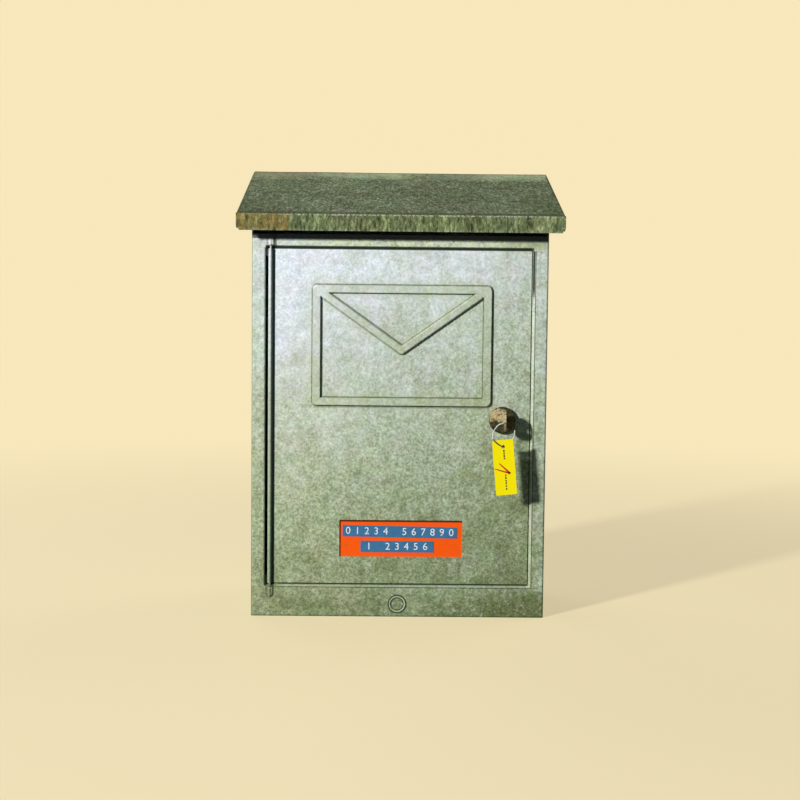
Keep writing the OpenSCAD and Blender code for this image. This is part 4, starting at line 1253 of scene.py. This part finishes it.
class MAILBOX_OT_lock(bpy.types.Operator):
    """Finish the lock, its nut, washer and cam, and the key"""
    bl_idname = "mailbox.lock"
    bl_label = "Lock and key"
    bl_options = {"REGISTER", "UNDO"}

    def execute(self, context):
        brass = trim().brass
        steel = bpy.data.materials["fixing_steel"]
        housing = brass_finish("lock_brass", brass)
        plug = brass_finish("plug_brass", brass)
        key = brass_finish("key_metal", (0.56, 0.50, 0.30))
        worn_copy("lock_housing", "lock_rosette", 0.25 * MM, housing, 3)
        worn_copy("lock_plug", "lock_cylinder", 0.15 * MM, plug)
        worn_copy("lock_wafers", "wafers", 0.05 * MM, plug)
        worn_copy("lock_washer", "washer", 0.12 * MM, steel)
        worn_copy("lock_nut", "nut", 0.3 * MM, steel)
        worn_copy("lock_cam", "cam", 0.2 * MM, steel)
        worn_copy("cam_screw", "cam_bolt", 0.2 * MM, steel)
        worn_copy("key", "key_blank", 0.35 * MM, key, 3)
        return {"FINISHED"}


class MAILBOX_OT_stage(bpy.types.Operator):
    """Lay the floor and set the lights"""
    bl_idname = "mailbox.stage"
    bl_label = "Stage"
    bl_options = {"REGISTER", "UNDO"}

    def execute(self, context):
        s = context.scene.mailbox_stage
        self.floor(s.backdrop)
        aim = Vector((0, 0, 0.17))
        key_side, key_distance = Vector((-0.98, -1.0, 0.45)).normalized(), 4.2
        key_size, back_size = 0.36, 2.4
        self.lamp("key", aim + key_side * key_distance, aim, key_size, s.key_power)
        self.lamp("back_right", Vector((2.1, 1.5, 1.5)), aim, back_size, s.fill_power)
        self.lamp("back_left", Vector((-1.5, 2.2, 1.7)), aim, back_size, s.fill_power)
        self.sky(s)
        return {"FINISHED"}

    def floor(self, colour):
        fresh()
        bpy.ops.mesh.primitive_plane_add(size=24, location=(0, 0, -0.02 * MM))
        floor = settle(bpy.context.object)
        floor.name = "floor"
        f = Finish("floor_pale")
        seen = self.plain_rays(f.tree)
        glow = f.node("ShaderNodeEmission", {"Color": colour})
        flat = f.node("ShaderNodeVectorMath", operation="LENGTH")
        f.feed(flat.inputs[0], f.moved((1, 1, 0)))
        far = f.span(flat.outputs["Value"], 0.35, 1.7, 0.60, 1.0)
        join = f.node("ShaderNodeMixShader")
        f.feed(join.inputs[0], far * seen)
        f.tree.links.new(f.shader.outputs[0], join.inputs[1])
        f.tree.links.new(glow.outputs[0], join.inputs[2])
        f.tree.links.new(join.outputs[0], f.output.inputs[0])
        # The floor throws little light back up into the box's shadows
        shown = f.mix(seen, (0.10, 0.11, 0.14), colour)
        material = f.done(shown, 0.8, specular=0.1)
        floor.data.materials.append(material)

    def plain_rays(self, tree):
        """1 for the rays that show the plain background: seen, mirrored or let through."""
        path = tree.nodes.new("ShaderNodeLightPath")
        total = path.outputs["Is Camera Ray"]
        for name in ("Is Glossy Ray", "Is Transmission Ray"):
            add = tree.nodes.new("ShaderNodeMath")
            add.operation = "ADD"
            add.use_clamp = True
            tree.links.new(total, add.inputs[0])
            tree.links.new(path.outputs[name], add.inputs[1])
            total = add.outputs[0]
        return total

    def lamp(self, name, place, aim, size, power):
        fresh()
        bpy.ops.object.light_add(type="AREA", location=place)
        lamp = bpy.context.object
        lamp.name = name
        lamp.data.shape = "DISK"
        lamp.data.size = size
        lamp.data.energy = power
        lamp.rotation_euler = (aim - place).to_track_quat("-Z", "Y").to_euler()

    def sky(self, s):
        world = bpy.context.scene.world or bpy.data.worlds.new("studio")
        bpy.context.scene.world = world
        world.use_nodes = True
        tree = world.node_tree
        tree.nodes.clear()
        out = tree.nodes.new("ShaderNodeOutputWorld")
        light = tree.nodes.new("ShaderNodeBackground")
        light.inputs["Color"].default_value = (0.24, 0.56, 1.0, 1)
        light.inputs["Strength"].default_value = s.sky
        back = tree.nodes.new("ShaderNodeBackground")
        back.inputs["Color"].default_value = (*s.backdrop, 1)
        back.inputs["Strength"].default_value = 1.0
        join = tree.nodes.new("ShaderNodeMixShader")
        tree.links.new(self.plain_rays(tree), join.inputs[0])
        tree.links.new(light.outputs[0], join.inputs[1])
        tree.links.new(back.outputs[0], join.inputs[2])
        tree.links.new(join.outputs[0], out.inputs[0])
        bpy.context.scene.view_settings.view_transform = "Standard"


class MAILBOX_PT_panel(bpy.types.Panel):
    """Lists the mailbox's settings and pieces"""
    bl_label = "Mailbox"
    bl_idname = "MAILBOX_PT_panel"
    bl_space_type = "VIEW_3D"
    bl_region_type = "UI"
    bl_category = "Mailbox"

    def draw(self, context):
        for name in GROUPS:
            group = getattr(context.scene, name)
            box = self.layout.box()
            for key in group.__annotations__:
                box.prop(group, key)
        for operator in OPERATORS:
            self.layout.operator(operator.bl_idname)


GROUPS = {
    "mailbox_sheet": MailboxSheet,
    "mailbox_trim": MailboxTrim,
    "mailbox_stage": MailboxStage,
}
OPERATORS = [
    MAILBOX_OT_camera,
    MAILBOX_OT_tag,
    MAILBOX_OT_casing,
    MAILBOX_OT_hood,
    MAILBOX_OT_door,
    MAILBOX_OT_label,
    MAILBOX_OT_lock,
    MAILBOX_OT_stage,
]
CLASSES = [*GROUPS.values(), *OPERATORS, MAILBOX_PT_panel]


def register():
    for each in CLASSES:
        bpy.utils.register_class(each)
    for name, group in GROUPS.items():
        setattr(bpy.types.Scene, name, PointerProperty(type=group))


def unregister():
    for name in GROUPS:
        delattr(bpy.types.Scene, name)
    for each in reversed(CLASSES):
        bpy.utils.unregister_class(each)


def main():
    register()
    bpy.ops.mailbox.camera()
    bpy.ops.mailbox.tag()
    bpy.ops.mailbox.casing()
    bpy.ops.mailbox.hood()
    bpy.ops.mailbox.door()
    bpy.ops.mailbox.label()
    bpy.ops.mailbox.lock()
    bpy.ops.mailbox.stage()


if __name__ == "__main__":
    main()
